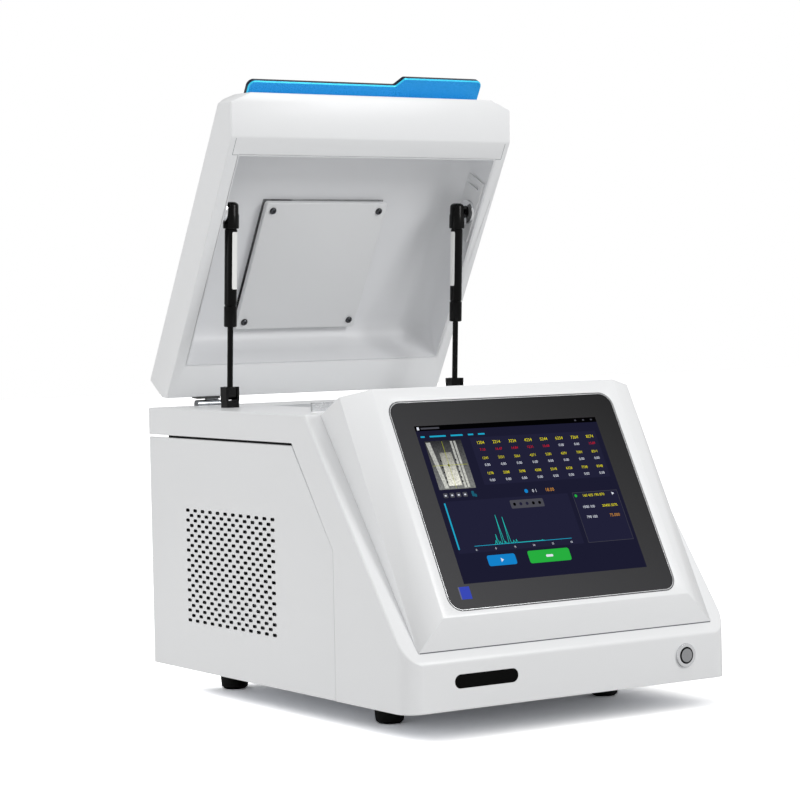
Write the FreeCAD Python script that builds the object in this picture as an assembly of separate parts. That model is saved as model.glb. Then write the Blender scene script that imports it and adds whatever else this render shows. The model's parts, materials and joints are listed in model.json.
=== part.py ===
"""Bench-top x-ray fluorescence analyzer for gold and jewellery.

A white housing stands on four tall rubber feet. Its flat deck carries the sample stage, and a
hinged radiation lid with two gas struts covers it. A sloping console with a touch screen fills
the front. All lengths are millimetres: x to the right, y to the back, z up. While the pieces are
made, y is 0 at the rear edge of the housing and z is 0 at the bottom of the feet. At the end
everything moves along y, so that the origin lies at the bottom centre of the whole part.
"""

import FreeCAD, Part
import math
import os
from FreeCAD import Placement, Rotation, Vector

# Housing
WIDTH = 370.0
DEPTH = 458.0
FOOT_HEIGHT = 25.7
HOUSING_HEIGHT = 258.9
DECK_DEPTH = 298.6
LEDGE_FOOT_DEPTH = 452.0
LEDGE_FOOT_RISE = 52.1
WALL = 2.5
CORNER_RADIUS = 17.0
EDGE_RADIUS = 2.0
FRONT_EDGE_RADIUS = 8.0
BAND_HEIGHT = 26.8
PANEL_GAP = 2.4
PANEL_SEAM = 0.5
PANEL_TOP_DEPTH = 274.4
PANEL_FRONT_DEPTH = 342.5
PANEL_CORNER_RISE = 136.8
PANEL_EDGE = 1.0
REAR_RECESS = 36.0
FRAME_SHEET = 1.5
FRAME_LAP = 12.0

# Holes of the side panel
HOLE_COLUMNS = 12
HOLE_ROWS = 12
HOLE_PITCH_Y = 14.7
HOLE_PITCH_Z = 9.92
HOLE_LENGTH = 7.4
HOLE_HEIGHT = 3.2
HOLE_REAR_DEPTH = 76.4
HOLE_TOP_DROP = 99.8

# Feet
FOOT_TOP_RADIUS = 15.5
FOOT_BOTTOM_RADIUS = 13.0
FOOT_BEVEL = 2.5
FOOT_SIDE = 125.5
FOOT_REAR_DEPTH = 58.8
FOOT_FRONT_DEPTH = 340.7
BASE_SHEET = 2.0

# Console and screen
SCREEN_TILT = 61.7
CONSOLE_WIDTH = 336.0
CONSOLE_FACE_WIDTH = 281.0
CONSOLE_FACE_RAISE = 13.8
CONSOLE_LENGTH = 253.6
CONSOLE_CHIN = 26.0
CONSOLE_WALL = 3.0
CONSOLE_FACE_WALL = 5.0
CONSOLE_BACK_LIP = 3.0
LEDGE_HOLE_SIDE = 22.0
LEDGE_HOLE_FOOT = 34.0
LEDGE_HOLE_TOP = 14.0
GLASS_WIDTH = 256.2
GLASS_HEIGHT = 204.9
GLASS_START = 32.8
GLASS_THICKNESS = 3.0
GLASS_RADIUS = 12.0
TRIM_WIDTH = 1.3
TRIM_GAP = 0.3
DISPLAY_WIDTH = 210.0
DISPLAY_HEIGHT = 157.4
DISPLAY_START = 23.5
DISPLAY_OFFSET = -2.3
DISPLAY_FRAME = 6.0
DISPLAY_THICKNESS = 9.0
DISPLAY_OPENING_MARGIN = 8.0

# Front controls
LENS_X = -98.9
LENS_RISE = 25.2
LENS_LENGTH = 69.0
LENS_HEIGHT = 12.2
LENS_THICKNESS = 4.0
LENS_FLANGE = 3.0
LAMP_SIZE = 6.0
LAMP_SPACING = 20.0
FIT_GAP = 0.2
BUTTON_X = 130.3
BUTTON_RISE = 24.7
BUTTON_BEZEL_RADIUS = 11.0
BUTTON_BEZEL_PROUD = 2.0
BUTTON_THREAD_RADIUS = 9.5
BUTTON_LENGTH = 26.0
BUTTON_CAP_RADIUS = 7.2
BUTTON_CAP_PROUD = 0.6
BUTTON_CAP_LENGTH = 9.0
BUTTON_TRAVEL = 2.5
BUTTON_RUNNING_GAP = 0.08

# Lid
LID_WIDTH = 334.4
LID_RIM_LENGTH = 292.5
LID_NOSE_LENGTH = 38.3
LID_HEIGHT = 50.0
LID_REAR_BULGE = 4.5
LID_REAR_BULGE_HEIGHT = 9.4
LID_REAR_SLOPE = 10.0
LID_REAR_LEAN = 1.0
LID_REAR_LEAN_HEIGHT = 40.0
LID_CORNER_X = 23.0
LID_CORNER_NOSE = 9.8
LID_SHOULDER = 11.5
LID_WALL = 3.0
LID_NOSE_DRAW = 2.5
LID_GAP = 2.0
LID_OPEN_ANGLE = 61.0
RIM_SIDE = 12.9
RIM_FRONT = 19.3
RIM_REAR = 37.5
LINER_SHEET = 1.5
LID_BACK_DEPTH = 10.3

# Hinges
PIVOT_DEPTH = 2.2
PIVOT_RISE = 1.4
HINGE_X = 117.8
HINGE_LENGTH = 26.6
HINGE_BARREL_RADIUS = 4.25
HINGE_PIN_RADIUS = 2.0
HINGE_PIN_HEAD = 5.5
HINGE_PIN_BEVEL = 2.0
HINGE_LEAF = 2.0
HINGE_LEAF_LENGTH = 26.0
LID_STRAP_LENGTH = 20.8
HINGE_KNUCKLE_GAP = 0.4
HINGE_PIN_GAP = 0.05
HINGE_POCKET_GAP = 1.0
HINGE_SPLIT = 0.47
HINGE_STRAP_GAP = 1.2
HINGE_HEAD_INSET = 0.6

# Shield plate in the lid
SHIELD_SIZE = 146.0
SHIELD_SHEET = 2.0
SHIELD_X = -10.0
SHIELD_CENTRE = 130.3
SHIELD_LIFT = 7.0
SHIELD_SCREW_SPACING = 128.4
SHIELD_SCREW_HEAD_RADIUS = 3.6
SHIELD_SCREW_HEAD = 2.2
STANDOFF_RADIUS = 4.0
SHIELD_CORNER = 3.0

# Grip plate on the lid
GRIP_LEFT = -130.0
GRIP_RIGHT = 149.0
GRIP_STEP_X = 47.0
GRIP_STEP_SLOPE = 9.0
GRIP_FRONT = 330.0
GRIP_STEP = 8.6
GRIP_LENGTH = 66.0
GRIP_THICKNESS = 5.5
GRIP_RADIUS = 7.0
GRIP_STEP_RADIUS = 4.0
GRIP_BEVEL = 1.2

# Gas struts
STRUT_X = 137.0
STRUT_FOOT_DEPTH = 81.5
STRUT_FOOT_RISE = 12.4
STRUT_TOP_ALONG = 205.0
STRUT_TOP_DEEP = 15.0
STRUT_ROD_RADIUS = 2.9
STRUT_TUBE_RADIUS = 6.5
STRUT_TUBE_WALL = 0.8
STRUT_TUBE_START = 68.0
STRUT_TUBE_END = 163.0
STRUT_TUBE_CAP = 4.0
STRUT_BEVEL = 1.5
STRUT_ROD_END = 100.0
STRUT_PISTON_LENGTH = 5.0
STRUT_RUNNING_GAP = 0.06
STRUT_EYE_RADIUS = 4.7
STRUT_EYE_WIDTH = 9.0
STRUT_EYE_NECK = 8.3
STRUT_SOCKET_RADIUS = 8.0
STRUT_SOCKET_ABOVE = 9.0
STRUT_SOCKET_LAP = 0.5
STRUT_PIN_RADIUS = 2.5
STRUT_EAR = 2.6
STRUT_EAR_GAP = 0.4
STRUT_EAR_LENGTH = 11.5
STRUT_BASE_WIDTH = 13.6
STRUT_BASE_LENGTH = 12.5
STRUT_BASE_HEIGHT = 7.0
STUD_DISC_RADIUS = 12.5
STUD_DISC = 3.0
STUD_NECK_RADIUS = 3.0
STUD_OPEN_GAP = 0.6
LID_BRACKET_SHEET = 2.0
LID_BRACKET_TOP = 243.0
LID_BRACKET_LENGTH = 68.0
LID_BRACKET_DEPTH = 34.0
LID_BRACKET_SLOT = 22.0
LID_BRACKET_SLOT_WIDTH = 4.0
LID_BRACKET_SLOT_INSET = 6.0
LID_BRACKET_BEVEL = 6.0

# Deck pieces
SAMPLE_X = -10.0
SAMPLE_DEPTH = 140.0
STAGE_WIDTH = 150.0
STAGE_LENGTH = 130.0
STAGE_RADIUS = 6.0
STAGE_GAP = 0.3
APERTURE_RADIUS = 13.0
WINDOW_RING_RADIUS = 22.0
WINDOW_RING_HEIGHT = 1.5
SILL_DEPTH = 242.0
SILL_WIDTH = 283.2
SILL_HEIGHT = 8.4
SILL_SHEET = 3.0
INTERLOCK_X = 120.0
INTERLOCK_SETBACK = 8.6
PLUNGER_RADIUS = 3.0
PLUNGER_PROUD = 1.5
PLUNGER_LENGTH = 16.0
PLUNGER_GAP = 0.08
INTERLOCK_WIDTH = 24.0
INTERLOCK_LENGTH = 14.0
INTERLOCK_HEIGHT = 22.0
INTERLOCK_FLOOR = 2.0

# Measuring head under the stage
HEAD_WIDTH = 180.0
HEAD_LENGTH = 160.0
HEAD_HEIGHT = 80.0
TUBE_RADIUS = 15.0
TUBE_LENGTH = 90.0
TUBE_TOP_BELOW = 46.0
WHEEL_RADIUS = 42.0
WHEEL_OFFSET = 30.0
WHEEL_THICKNESS = 5.0
WHEEL_BELOW = 37.1
WHEEL_HOLES = 4
WHEEL_HOLE_RADIUS = 4.0
WHEEL_HOLE_STEP = 0.8
WHEEL_SLOT = 10.0
WHEEL_SLOT_MARGIN = 4.0
WHEEL_SHAFT_RADIUS = 2.5
BORE_REACH = 200.0
MOTOR_RADIUS = 12.5
MOTOR_LENGTH = 30.0
DETECTOR_RADIUS = 10.0
DETECTOR_ANGLE = 45.0
DETECTOR_START = 32.0
DETECTOR_LENGTH = 86.0
DETECTOR_NOSE_RADIUS = 6.0
DETECTOR_NOSE_LENGTH = 12.0
CAMERA_RADIUS = 6.0
CAMERA_ANGLE = 60.0
CAMERA_START = 26.0
CAMERA_LENGTH = 74.0
CAMERA_BACK_RADIUS = 9.6
CAMERA_BACK_LENGTH = 12.0

# Electronics on the base sheet
GENERATOR_SIZE = (90.0, 130.0, 70.0)
GENERATOR_SIDE_GAP = 20.0
GENERATOR_DEPTH = 210.0
SUPPLY_SIZE = (98.0, 160.0, 45.0)
SUPPLY_SIDE_GAP = 25.0
SUPPLY_DEPTH = 240.0
BOARD_SIZE = (170.0, 110.0, 1.6)
BOARD_PLACE = (-60.0, -390.0)
BOARD_LIFT = 10.0
BOARD_POST = 7.0
BOARD_POST_INSET = 6.0
BOARD_CHIPS = ((40.0, 40.0, 35.0, 35.0, 9.0), (100.0, 30.0, 20.0, 40.0, 4.0))
INDICATOR_BOARD = 1.6

# Rear panel pieces
REAR_SHEET = 1.5
FAN_X = 100.0
FAN_RISE = 120.0
FAN_SIZE = 80.0
FAN_DEPTH = 25.0
FAN_BORE_RADIUS = 38.0
FAN_HUB_RADIUS = 17.0
FAN_BLADES = 7
FAN_BLADE_RADIUS = 36.5
FAN_BLADE_THICKNESS = 1.5
FAN_BLADE_PITCH = 35.0
FAN_ROTOR_DEPTH = 16.0
FAN_ROTOR_GAP = 0.5
FAN_BLADE_ROOT = 2.0
FAN_AXLE_RADIUS = 2.0
FAN_AXLE_GAP = 0.05
FAN_SPOKE = 4.0
FAN_MOTOR_DEPTH = 5.0
GRILLE_SLOTS = 9
GRILLE_PITCH = 7.6
GRILLE_HEIGHT = 4.6
GRILLE_MARGIN = 3.0
INLET_X = -110.0
INLET_RISE = 60.0
INLET_WIDTH = 27.0
INLET_HEIGHT = 20.0
INLET_FLANGE_WIDTH = 50.0
INLET_FLANGE_HEIGHT = 23.0
INLET_FLANGE = 3.0
INLET_DEPTH = 24.0
INLET_WALL = 1.5
INLET_PIN = (2.0, 4.0, 16.0)
INLET_PIN_SPACING = 7.0
INLET_PIN_DROP = 2.0
ROCKER_X = -62.0
ROCKER_WIDTH = 13.0
ROCKER_HEIGHT = 19.0
ROCKER_FRAME = 2.0
ROCKER_FRAME_PROUD = 2.0
ROCKER_DEPTH = 18.0
ROCKER_GAP = 0.35
ROCKER_PIN_RADIUS = 1.5
ROCKER_PIN_GAP = 0.05
ROCKER_ANGLE = 10.0
ROCKER_AXIS_SINK = 3.0
ROCKER_LIP = 1.5
ROCKER_END_GAP = 1.2
ROCKER_FACE = 4.5
ROCKER_SKIRT = 3.5
ROCKER_SKIRT_TAPER = 2.0
ROCKER_SHOULDER = 2.2
ROCKER_CREST = 0.6
ROCKER_VALLEY = 1.9

# Levels and lines that follow from the sizes above
HALF = WIDTH / 2
BASE_Z = FOOT_HEIGHT
DECK_Z = BASE_Z + HOUSING_HEIGHT
LEDGE_FOOT_Z = BASE_Z + LEDGE_FOOT_RISE
LEDGE_SLOPE = (DECK_Z - LEDGE_FOOT_Z) / (LEDGE_FOOT_DEPTH - DECK_DEPTH)
SLOPE = math.atan(LEDGE_SLOPE)
FRONT_TOP_Z = LEDGE_FOOT_Z - (DEPTH - LEDGE_FOOT_DEPTH) * LEDGE_SLOPE
PANEL_TOP_Z = DECK_Z - BAND_HEIGHT - PANEL_GAP
PANEL_CORNER_Z = BASE_Z + PANEL_CORNER_RISE
FLOOR_Z = BASE_Z + BASE_SHEET
CONTROL_Z = BASE_Z + BUTTON_RISE
INTERLOCK_DEPTH = DECK_DEPTH - INTERLOCK_SETBACK
TILT = math.radians(SCREEN_TILT)
X_AXIS = Vector(1, 0, 0)
Y_AXIS = Vector(0, 1, 0)
Z_AXIS = Vector(0, 0, 1)


def box(x0, x1, y0, y1, z0, z1):
    """Box between two corners."""
    return Part.makeBox(x1 - x0, y1 - y0, z1 - z0, Vector(x0, y0, z0))


def face_of(points):
    """Flat face inside a closed line of corners."""
    return Part.Face(Part.makePolygon([*points, points[0]]))


def prism_x(points, x0, x1):
    """Side profile of (y, z) corners, drawn out along x."""
    return face_of([Vector(x0, y, z) for y, z in points]).extrude(Vector(x1 - x0, 0, 0))


def rod(start, direction, radius, length):
    """Round bar."""
    return Part.makeCylinder(radius, length, start, direction)


def rounded_plate(x0, x1, y0, y1, z0, z1, radius):
    """Flat plate with four round upright corners."""
    plate = box(x0, x1, y0, y1, z0, z1)
    upright = [e for e in plate.Edges if abs(e.tangentAt(e.FirstParameter).z) > 0.9]
    return plate.makeFillet(radius, upright)


def obround_y(x, z, length, height, y0, y1):
    """Slot-shaped bar along y, with round ends."""
    reach = (length - height) / 2
    middle = box(x - reach, x + reach, y0, y1, z - height / 2, z + height / 2)
    ends = [rod(Vector(x + side * reach, y0, z), Y_AXIS, height / 2, y1 - y0) for side in (-1, 1)]
    return middle.fuse(ends).removeSplitter()


def one(shape):
    """The single solid that an operation leaves."""
    return shape.removeSplitter().Solids[0]


def mirrored(shape):
    """Copy on the other side of the middle plane."""
    return shape.mirror(Vector(0, 0, 0), X_AXIS)


def edges_where(shape, test):
    """Edges whose two ends and middle all pass a test."""
    def holds(edge):
        middle = edge.valueAt((edge.FirstParameter + edge.LastParameter) / 2)
        return all(test(p) for p in [*(v.Point for v in edge.Vertexes), middle])
    return [edge for edge in shape.Edges if holds(edge)]


def near(value, target):
    """True where a coordinate lies on a plane."""
    return abs(value - target) < 0.01


# Screen frame: x across, y up along the screen, z out of it, from the foot of the console
def on_screen(shape):
    """Move a piece from the screen frame into place."""
    placed = shape.copy()
    foot = Vector(0, -LEDGE_FOOT_DEPTH, LEDGE_FOOT_Z)
    placed.Placement = Placement(foot, Rotation(X_AXIS, SCREEN_TILT)).multiply(placed.Placement)
    return placed


# Lid frame: as the closed lid lies, from the rear corner of its rim; y is 0 there, z is up
PIVOT = Vector(0, -PIVOT_DEPTH, DECK_Z + PIVOT_RISE)


def on_lid(shape):
    """Move a piece from the lid frame to the open lid."""
    placed = shape.copy()
    placed.translate(Vector(0, -LID_BACK_DEPTH, DECK_Z + LID_GAP))
    placed.rotate(PIVOT, X_AXIS, -LID_OPEN_ANGLE)
    return placed


def housing_profile():
    """Side outline of the housing as (y, z) corners."""
    return [
        (0, BASE_Z),
        (0, DECK_Z),
        (-DECK_DEPTH, DECK_Z),
        (-DEPTH, FRONT_TOP_Z),
        (-DEPTH, BASE_Z),
    ]


def housing_body():
    """Outer form of the housing, with round front corners and soft edges."""
    body = prism_x(housing_profile(), -HALF, HALF)
    front_edge = edges_where(body, lambda p: near(p.z, FRONT_TOP_Z) and near(p.y, -DEPTH))
    body = body.makeFillet(FRONT_EDGE_RADIUS, front_edge)
    plan = rounded_plate(-HALF, HALF, -DEPTH, CORNER_RADIUS, 0, DECK_Z + 1, CORNER_RADIUS)
    body = body.common(plan).removeSplitter()
    return body.makeFillet(EDGE_RADIUS, [edge for edge in body.Edges if is_upper_side_edge(edge)])


def is_upper_side_edge(edge):
    """True for an edge between a side of the housing and its deck, ledge or round front."""
    middle = edge.valueAt((edge.FirstParameter + edge.LastParameter) / 2)
    places = [*(v.Point for v in edge.Vertexes), middle]
    upright = all(abs(p.x - middle.x) < 0.01 and abs(p.y - middle.y) < 0.01 for p in places)
    beside = all(abs(p.x) > HALF - CORNER_RADIUS - 0.01 and p.z > BASE_Z + 1 for p in places)
    return beside and not upright


def panel_outline(grow=0.0):
    """Side outline of a side panel: straight top, slope beside the ledge, upright front."""
    return [
        (0, BASE_Z),
        (0, PANEL_TOP_Z + grow),
        (-PANEL_TOP_DEPTH - grow / 2, PANEL_TOP_Z + grow),
        (-PANEL_FRONT_DEPTH - grow, PANEL_CORNER_Z + grow / 2),
        (-PANEL_FRONT_DEPTH - grow, BASE_Z),
    ]


def side_opening():
    """What the side panels and their gaps take out of the housing wall."""
    reach = 1.0
    outline = [
        (reach, BASE_Z - reach),
        (reach, PANEL_TOP_Z + PANEL_GAP),
        (-PANEL_TOP_DEPTH - PANEL_SEAM, PANEL_TOP_Z + PANEL_GAP),
        (-PANEL_FRONT_DEPTH - PANEL_SEAM, PANEL_CORNER_Z),
        (-PANEL_FRONT_DEPTH - PANEL_SEAM, BASE_Z - reach),
    ]
    return prism_x(outline, -HALF - reach, HALF + reach)


def housing_void():
    """Space inside the housing, open below and at the rear."""
    below = 0.0
    inner = [
        (-WALL, below),
        (-WALL, DECK_Z - WALL),
        (-DECK_DEPTH + WALL * math.tan(SLOPE / 2), DECK_Z - WALL),
        (-DEPTH + WALL, FRONT_TOP_Z - WALL * math.tan(math.radians(45) - SLOPE / 2)),
        (-DEPTH + WALL, below),
    ]
    body = prism_x(inner, -HALF + WALL, HALF - WALL)
    inset = CORNER_RADIUS - WALL
    plan = rounded_plate(-HALF + WALL, HALF - WALL, -DEPTH + WALL, CORNER_RADIUS, 0, DECK_Z, inset)
    rear_opening = box(-HALF + WALL, HALF - WALL, -2 * WALL, 1, below, PANEL_TOP_Z + PANEL_GAP)
    return body.common(plan).fuse(rear_opening)


def base_shell():
    """White housing: deck, ledge, front band and the bands beside the side panels."""
    shell = housing_body().cut(housing_void()).cut(side_opening())
    stage = stage_blank(STAGE_GAP, DECK_Z - 2 * WALL, DECK_Z + 1)
    through = 4 * WALL
    button = rod(Vector(BUTTON_X, -DEPTH - 1, CONTROL_Z), Y_AXIS, BUTTON_THREAD_RADIUS + FIT_GAP, through)
    lens = obround_y(LENS_X, BASE_Z + LENS_RISE, LENS_LENGTH + 2 * FIT_GAP, LENS_HEIGHT + 2 * FIT_GAP,
                     -DEPTH - 1, -DEPTH + through)
    plunger_foot = Vector(INTERLOCK_X, -INTERLOCK_DEPTH, DECK_Z - 2 * WALL)
    plunger = rod(plunger_foot, Z_AXIS, PLUNGER_RADIUS + FIT_GAP, through)
    shell = shell.cut([ledge_hole(), stage, button, lens, plunger, hinge_pocket(1), hinge_pocket(-1)])
    return one(shell)


def ledge_hole():
    """Opening in the ledge behind the console, for the display and its wires."""
    length = math.hypot(LEDGE_FOOT_DEPTH - DECK_DEPTH, DECK_Z - LEDGE_FOOT_Z)
    half = CONSOLE_WIDTH / 2 - LEDGE_HOLE_SIDE
    hole = box(-half, half, LEDGE_HOLE_FOOT, length - LEDGE_HOLE_TOP, -3 * WALL, 3 * WALL)
    foot = Vector(0, -LEDGE_FOOT_DEPTH, LEDGE_FOOT_Z)
    hole.Placement = Placement(foot, Rotation(X_AXIS, math.degrees(SLOPE)))
    return hole


def stage_blank(grow, z0, z1):
    """Block the size of the stage plate."""
    half_x = STAGE_WIDTH / 2 + grow
    half_y = STAGE_LENGTH / 2 + grow
    return rounded_plate(SAMPLE_X - half_x, SAMPLE_X + half_x, -SAMPLE_DEPTH - half_y,
                         -SAMPLE_DEPTH + half_y, z0, z1, STAGE_RADIUS + grow)


def hinge_span(side):
    """Left and right ends of one hinge barrel."""
    return side * HINGE_X - HINGE_LENGTH / 2, side * HINGE_X + HINGE_LENGTH / 2


def hinge_pocket(side):
    """Notch in the rear edge of the deck that clears the hinge barrel and the pin head."""
    x0, x1 = hinge_span(side)
    reach = HINGE_BARREL_RADIUS + HINGE_POCKET_GAP
    return box(x0 - HINGE_POCKET_GAP, x1 + HINGE_PIN_HEAD + 2 * HINGE_POCKET_GAP,
               PIVOT.y - reach, 1, PIVOT.z - reach, DECK_Z + 1)


def panel_holes():
    """Staggered field of slots in the left side panel."""
    top = DECK_Z - HOLE_TOP_DROP
    bars = []
    for shift, columns, rows in ((0.0, HOLE_COLUMNS, HOLE_ROWS), (0.5, HOLE_COLUMNS - 1, HOLE_ROWS - 1)):
        for column in range(columns):
            y = -HOLE_REAR_DEPTH - (column + shift) * HOLE_PITCH_Y
            for row in range(rows):
                z = top - (row + shift) * HOLE_PITCH_Z
                bars.append(box(-HALF - 1, -HALF + WALL + 1, y - HOLE_LENGTH / 2, y + HOLE_LENGTH / 2,
                                z - HOLE_HEIGHT / 2, z + HOLE_HEIGHT / 2))
    return Part.makeCompound(bars)


def side_panel(side):
    """Removable side panel with soft edges."""
    outer = side * HALF
    inner = side * (HALF - WALL)
    panel = prism_x(panel_outline(), inner, outer)
    rim = edges_where(panel, lambda p: near(p.x, outer) and not near(p.z, BASE_Z))
    panel = panel.makeFillet(PANEL_EDGE, rim)
    if side < 0:
        panel = panel.cut(panel_holes())
    return panel.Solids[0]


def side_frame(side):
    """Black sheet frame behind a side panel and the edge of the housing wall."""
    x0, x1 = sorted((side * (HALF - WALL), side * (HALF - WALL - FRAME_SHEET)))
    rear = -REAR_RECESS
    outer = prism_x([(rear, FLOOR_Z)] + [(rear, PANEL_TOP_Z + FRAME_LAP)] + [
        (-PANEL_TOP_DEPTH - FRAME_LAP / 2, PANEL_TOP_Z + FRAME_LAP),
        (-PANEL_FRONT_DEPTH - FRAME_LAP, PANEL_CORNER_Z + FRAME_LAP / 2),
        (-PANEL_FRONT_DEPTH - FRAME_LAP, FLOOR_Z)], x0, x1)
    window = prism_x([(rear - FRAME_LAP, FLOOR_Z + FRAME_LAP), (rear - FRAME_LAP, PANEL_TOP_Z - FRAME_LAP),
                      (-PANEL_TOP_DEPTH + FRAME_LAP / 2, PANEL_TOP_Z - FRAME_LAP),
                      (-PANEL_FRONT_DEPTH + FRAME_LAP, PANEL_CORNER_Z - FRAME_LAP / 2),
                      (-PANEL_FRONT_DEPTH + FRAME_LAP, FLOOR_Z + FRAME_LAP)], x0 - 1, x1 + 1)
    return one(outer.cut(window))


def base_plate():
    """Bottom sheet that closes the housing and carries feet and electronics."""
    return rounded_plate(-HALF + WALL, HALF - WALL, -DEPTH + WALL, -REAR_RECESS,
                         BASE_Z, FLOOR_Z, CORNER_RADIUS - WALL)


def rubber_foot(side, depth):
    """Tapered round foot with a bevelled lower edge."""
    foot = Part.makeCone(FOOT_BOTTOM_RADIUS, FOOT_TOP_RADIUS, FOOT_HEIGHT)
    foot = foot.makeChamfer(FOOT_BEVEL, edges_where(foot, lambda p: near(p.z, 0)))
    foot.translate(Vector(side * FOOT_SIDE, -depth, 0))
    return foot.Solids[0]


def rubber_feet():
    """Four feet."""
    depths = (FOOT_REAR_DEPTH, FOOT_FRONT_DEPTH)
    return Part.makeCompound([rubber_foot(side, depth) for depth in depths for side in (-1, 1)])


def console_bezel():
    """Raised screen housing: a wedge on the ledge with a bevelled frame round the glass."""
    half = CONSOLE_WIDTH / 2
    face_half = CONSOLE_FACE_WIDTH / 2
    frame = bevel_block(half, face_half, 0, CONSOLE_CHIN, CONSOLE_LENGTH, 0, CONSOLE_FACE_RAISE)
    shape = on_screen(frame).fuse(console_wedge(half)).removeSplitter()
    inner_half = half - CONSOLE_WALL
    inner_face = face_half - CONSOLE_WALL
    top = CONSOLE_LENGTH - CONSOLE_WALL
    low = CONSOLE_WALL + CONSOLE_BACK_LIP
    hollow = bevel_block(inner_half, inner_face, low, CONSOLE_CHIN + CONSOLE_WALL, top,
                         0.0, CONSOLE_FACE_RAISE - CONSOLE_FACE_WALL)
    back = box(-inner_half, inner_half, low, top, -CONSOLE_LENGTH, 0.0)
    shape = shape.cut([on_screen(hollow), on_screen(back)])
    shape = shape.cut([on_screen(glass_blank(TRIM_WIDTH + 2 * TRIM_GAP, CONSOLE_FACE_RAISE + 1)),
                       on_screen(display_blank(DISPLAY_OPENING_MARGIN, -1, CONSOLE_FACE_RAISE + 1))])
    return one(shape)


def bevel_block(half0, half1, y0, y1, top, z0, z1):
    """Block whose left, right and lower sides lean in; its top side is upright."""
    def outline(half, low, z):
        corners = [(-half, low), (half, low), (half, top), (-half, top)]
        return Part.makePolygon([Vector(x, y, z) for x, y in [*corners, corners[0]]])
    return Part.makeLoft([outline(half0, y0, z0), outline(half1, y1, z1)], True, True)


def console_wedge(half):
    """Part of the console between the ledge and the line where its bevels start."""
    foot = (-LEDGE_FOOT_DEPTH, LEDGE_FOOT_Z)
    ridge = (foot[0] + CONSOLE_LENGTH * math.cos(TILT), foot[1] + CONSOLE_LENGTH * math.sin(TILT))
    drop = console_top_depth()
    rear = (ridge[0] + drop * math.sin(TILT), ridge[1] - drop * math.cos(TILT))
    return prism_x([foot, ridge, rear], -half, half)


def console_top_depth():
    """Length of the console's top side, from its ridge down to the ledge plane."""
    return CONSOLE_LENGTH * math.tan(TILT - SLOPE)


def glass_blank(grow, top):
    """Rounded block the size of the screen glass, in the screen frame."""
    half = GLASS_WIDTH / 2 + grow
    bottom = CONSOLE_FACE_RAISE - GLASS_THICKNESS
    return rounded_plate(-half, half, GLASS_START - grow, GLASS_START + GLASS_HEIGHT + grow,
                         bottom, top, GLASS_RADIUS + grow)


def display_blank(grow, z0, z1):
    """Block the size of the lit display area, in the screen frame."""
    half = DISPLAY_WIDTH / 2 + grow
    low = GLASS_START + DISPLAY_START - grow
    return box(DISPLAY_OFFSET - half, DISPLAY_OFFSET + half, low, low + DISPLAY_HEIGHT + 2 * grow, z0, z1)


def touch_glass():
    """Flat cover glass of the touch screen."""
    return on_screen(glass_blank(0.0, CONSOLE_FACE_RAISE))


def glass_trim():
    """Thin bright frame round the cover glass."""
    outer = glass_blank(TRIM_WIDTH + TRIM_GAP, CONSOLE_FACE_RAISE)
    return on_screen(one(outer.cut(glass_blank(TRIM_GAP, CONSOLE_FACE_RAISE + 1))))


def lcd_module():
    """Display module against the back of the glass."""
    back = CONSOLE_FACE_RAISE - GLASS_THICKNESS
    return on_screen(display_blank(DISPLAY_FRAME, back - DISPLAY_THICKNESS, back))


def indicator_lens():
    """Smoked window of the radiation warning lamp."""
    z = BASE_Z + LENS_RISE
    front = obround_y(LENS_X, z, LENS_LENGTH, LENS_HEIGHT, -DEPTH, -DEPTH + LENS_THICKNESS)
    flange = obround_y(LENS_X, z, LENS_LENGTH + 2 * LENS_FLANGE, LENS_HEIGHT + 2 * LENS_FLANGE,
                       -DEPTH + WALL, -DEPTH + LENS_THICKNESS)
    return one(front.fuse(flange))


def indicator_board():
    """Lamp board behind the window, with a row of lamps."""
    z = BASE_Z + LENS_RISE
    y = -DEPTH + LENS_THICKNESS
    half = LAMP_SIZE / 2
    board = box(LENS_X - LENS_LENGTH / 2, LENS_X + LENS_LENGTH / 2, y + half, y + half + INDICATOR_BOARD,
                z - LENS_HEIGHT / 2, z + LENS_HEIGHT / 2)
    lamps = [box(x - half, x + half, y, y + half, z - half, z + half)
             for x in (LENS_X - LAMP_SPACING, LENS_X, LENS_X + LAMP_SPACING)]
    return one(board.fuse(lamps))


def button_body():
    """Steel bezel and threaded barrel of the power button."""
    y = -DEPTH - BUTTON_BEZEL_PROUD
    bezel = rod(Vector(BUTTON_X, y, CONTROL_Z), Y_AXIS, BUTTON_BEZEL_RADIUS, BUTTON_BEZEL_PROUD)
    barrel = rod(Vector(BUTTON_X, -DEPTH, CONTROL_Z), Y_AXIS, BUTTON_THREAD_RADIUS, BUTTON_LENGTH)
    well = rod(Vector(BUTTON_X, y - 1, CONTROL_Z), Y_AXIS, BUTTON_CAP_RADIUS + BUTTON_RUNNING_GAP,
               BUTTON_CAP_LENGTH + BUTTON_TRAVEL + 2)
    return one(bezel.fuse(barrel).cut(well))


def button_cap():
    """Moving cap of the power button."""
    y = -DEPTH - BUTTON_BEZEL_PROUD - BUTTON_CAP_PROUD
    return rod(Vector(BUTTON_X, y, CONTROL_Z), Y_AXIS, BUTTON_CAP_RADIUS, BUTTON_CAP_LENGTH)


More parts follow.
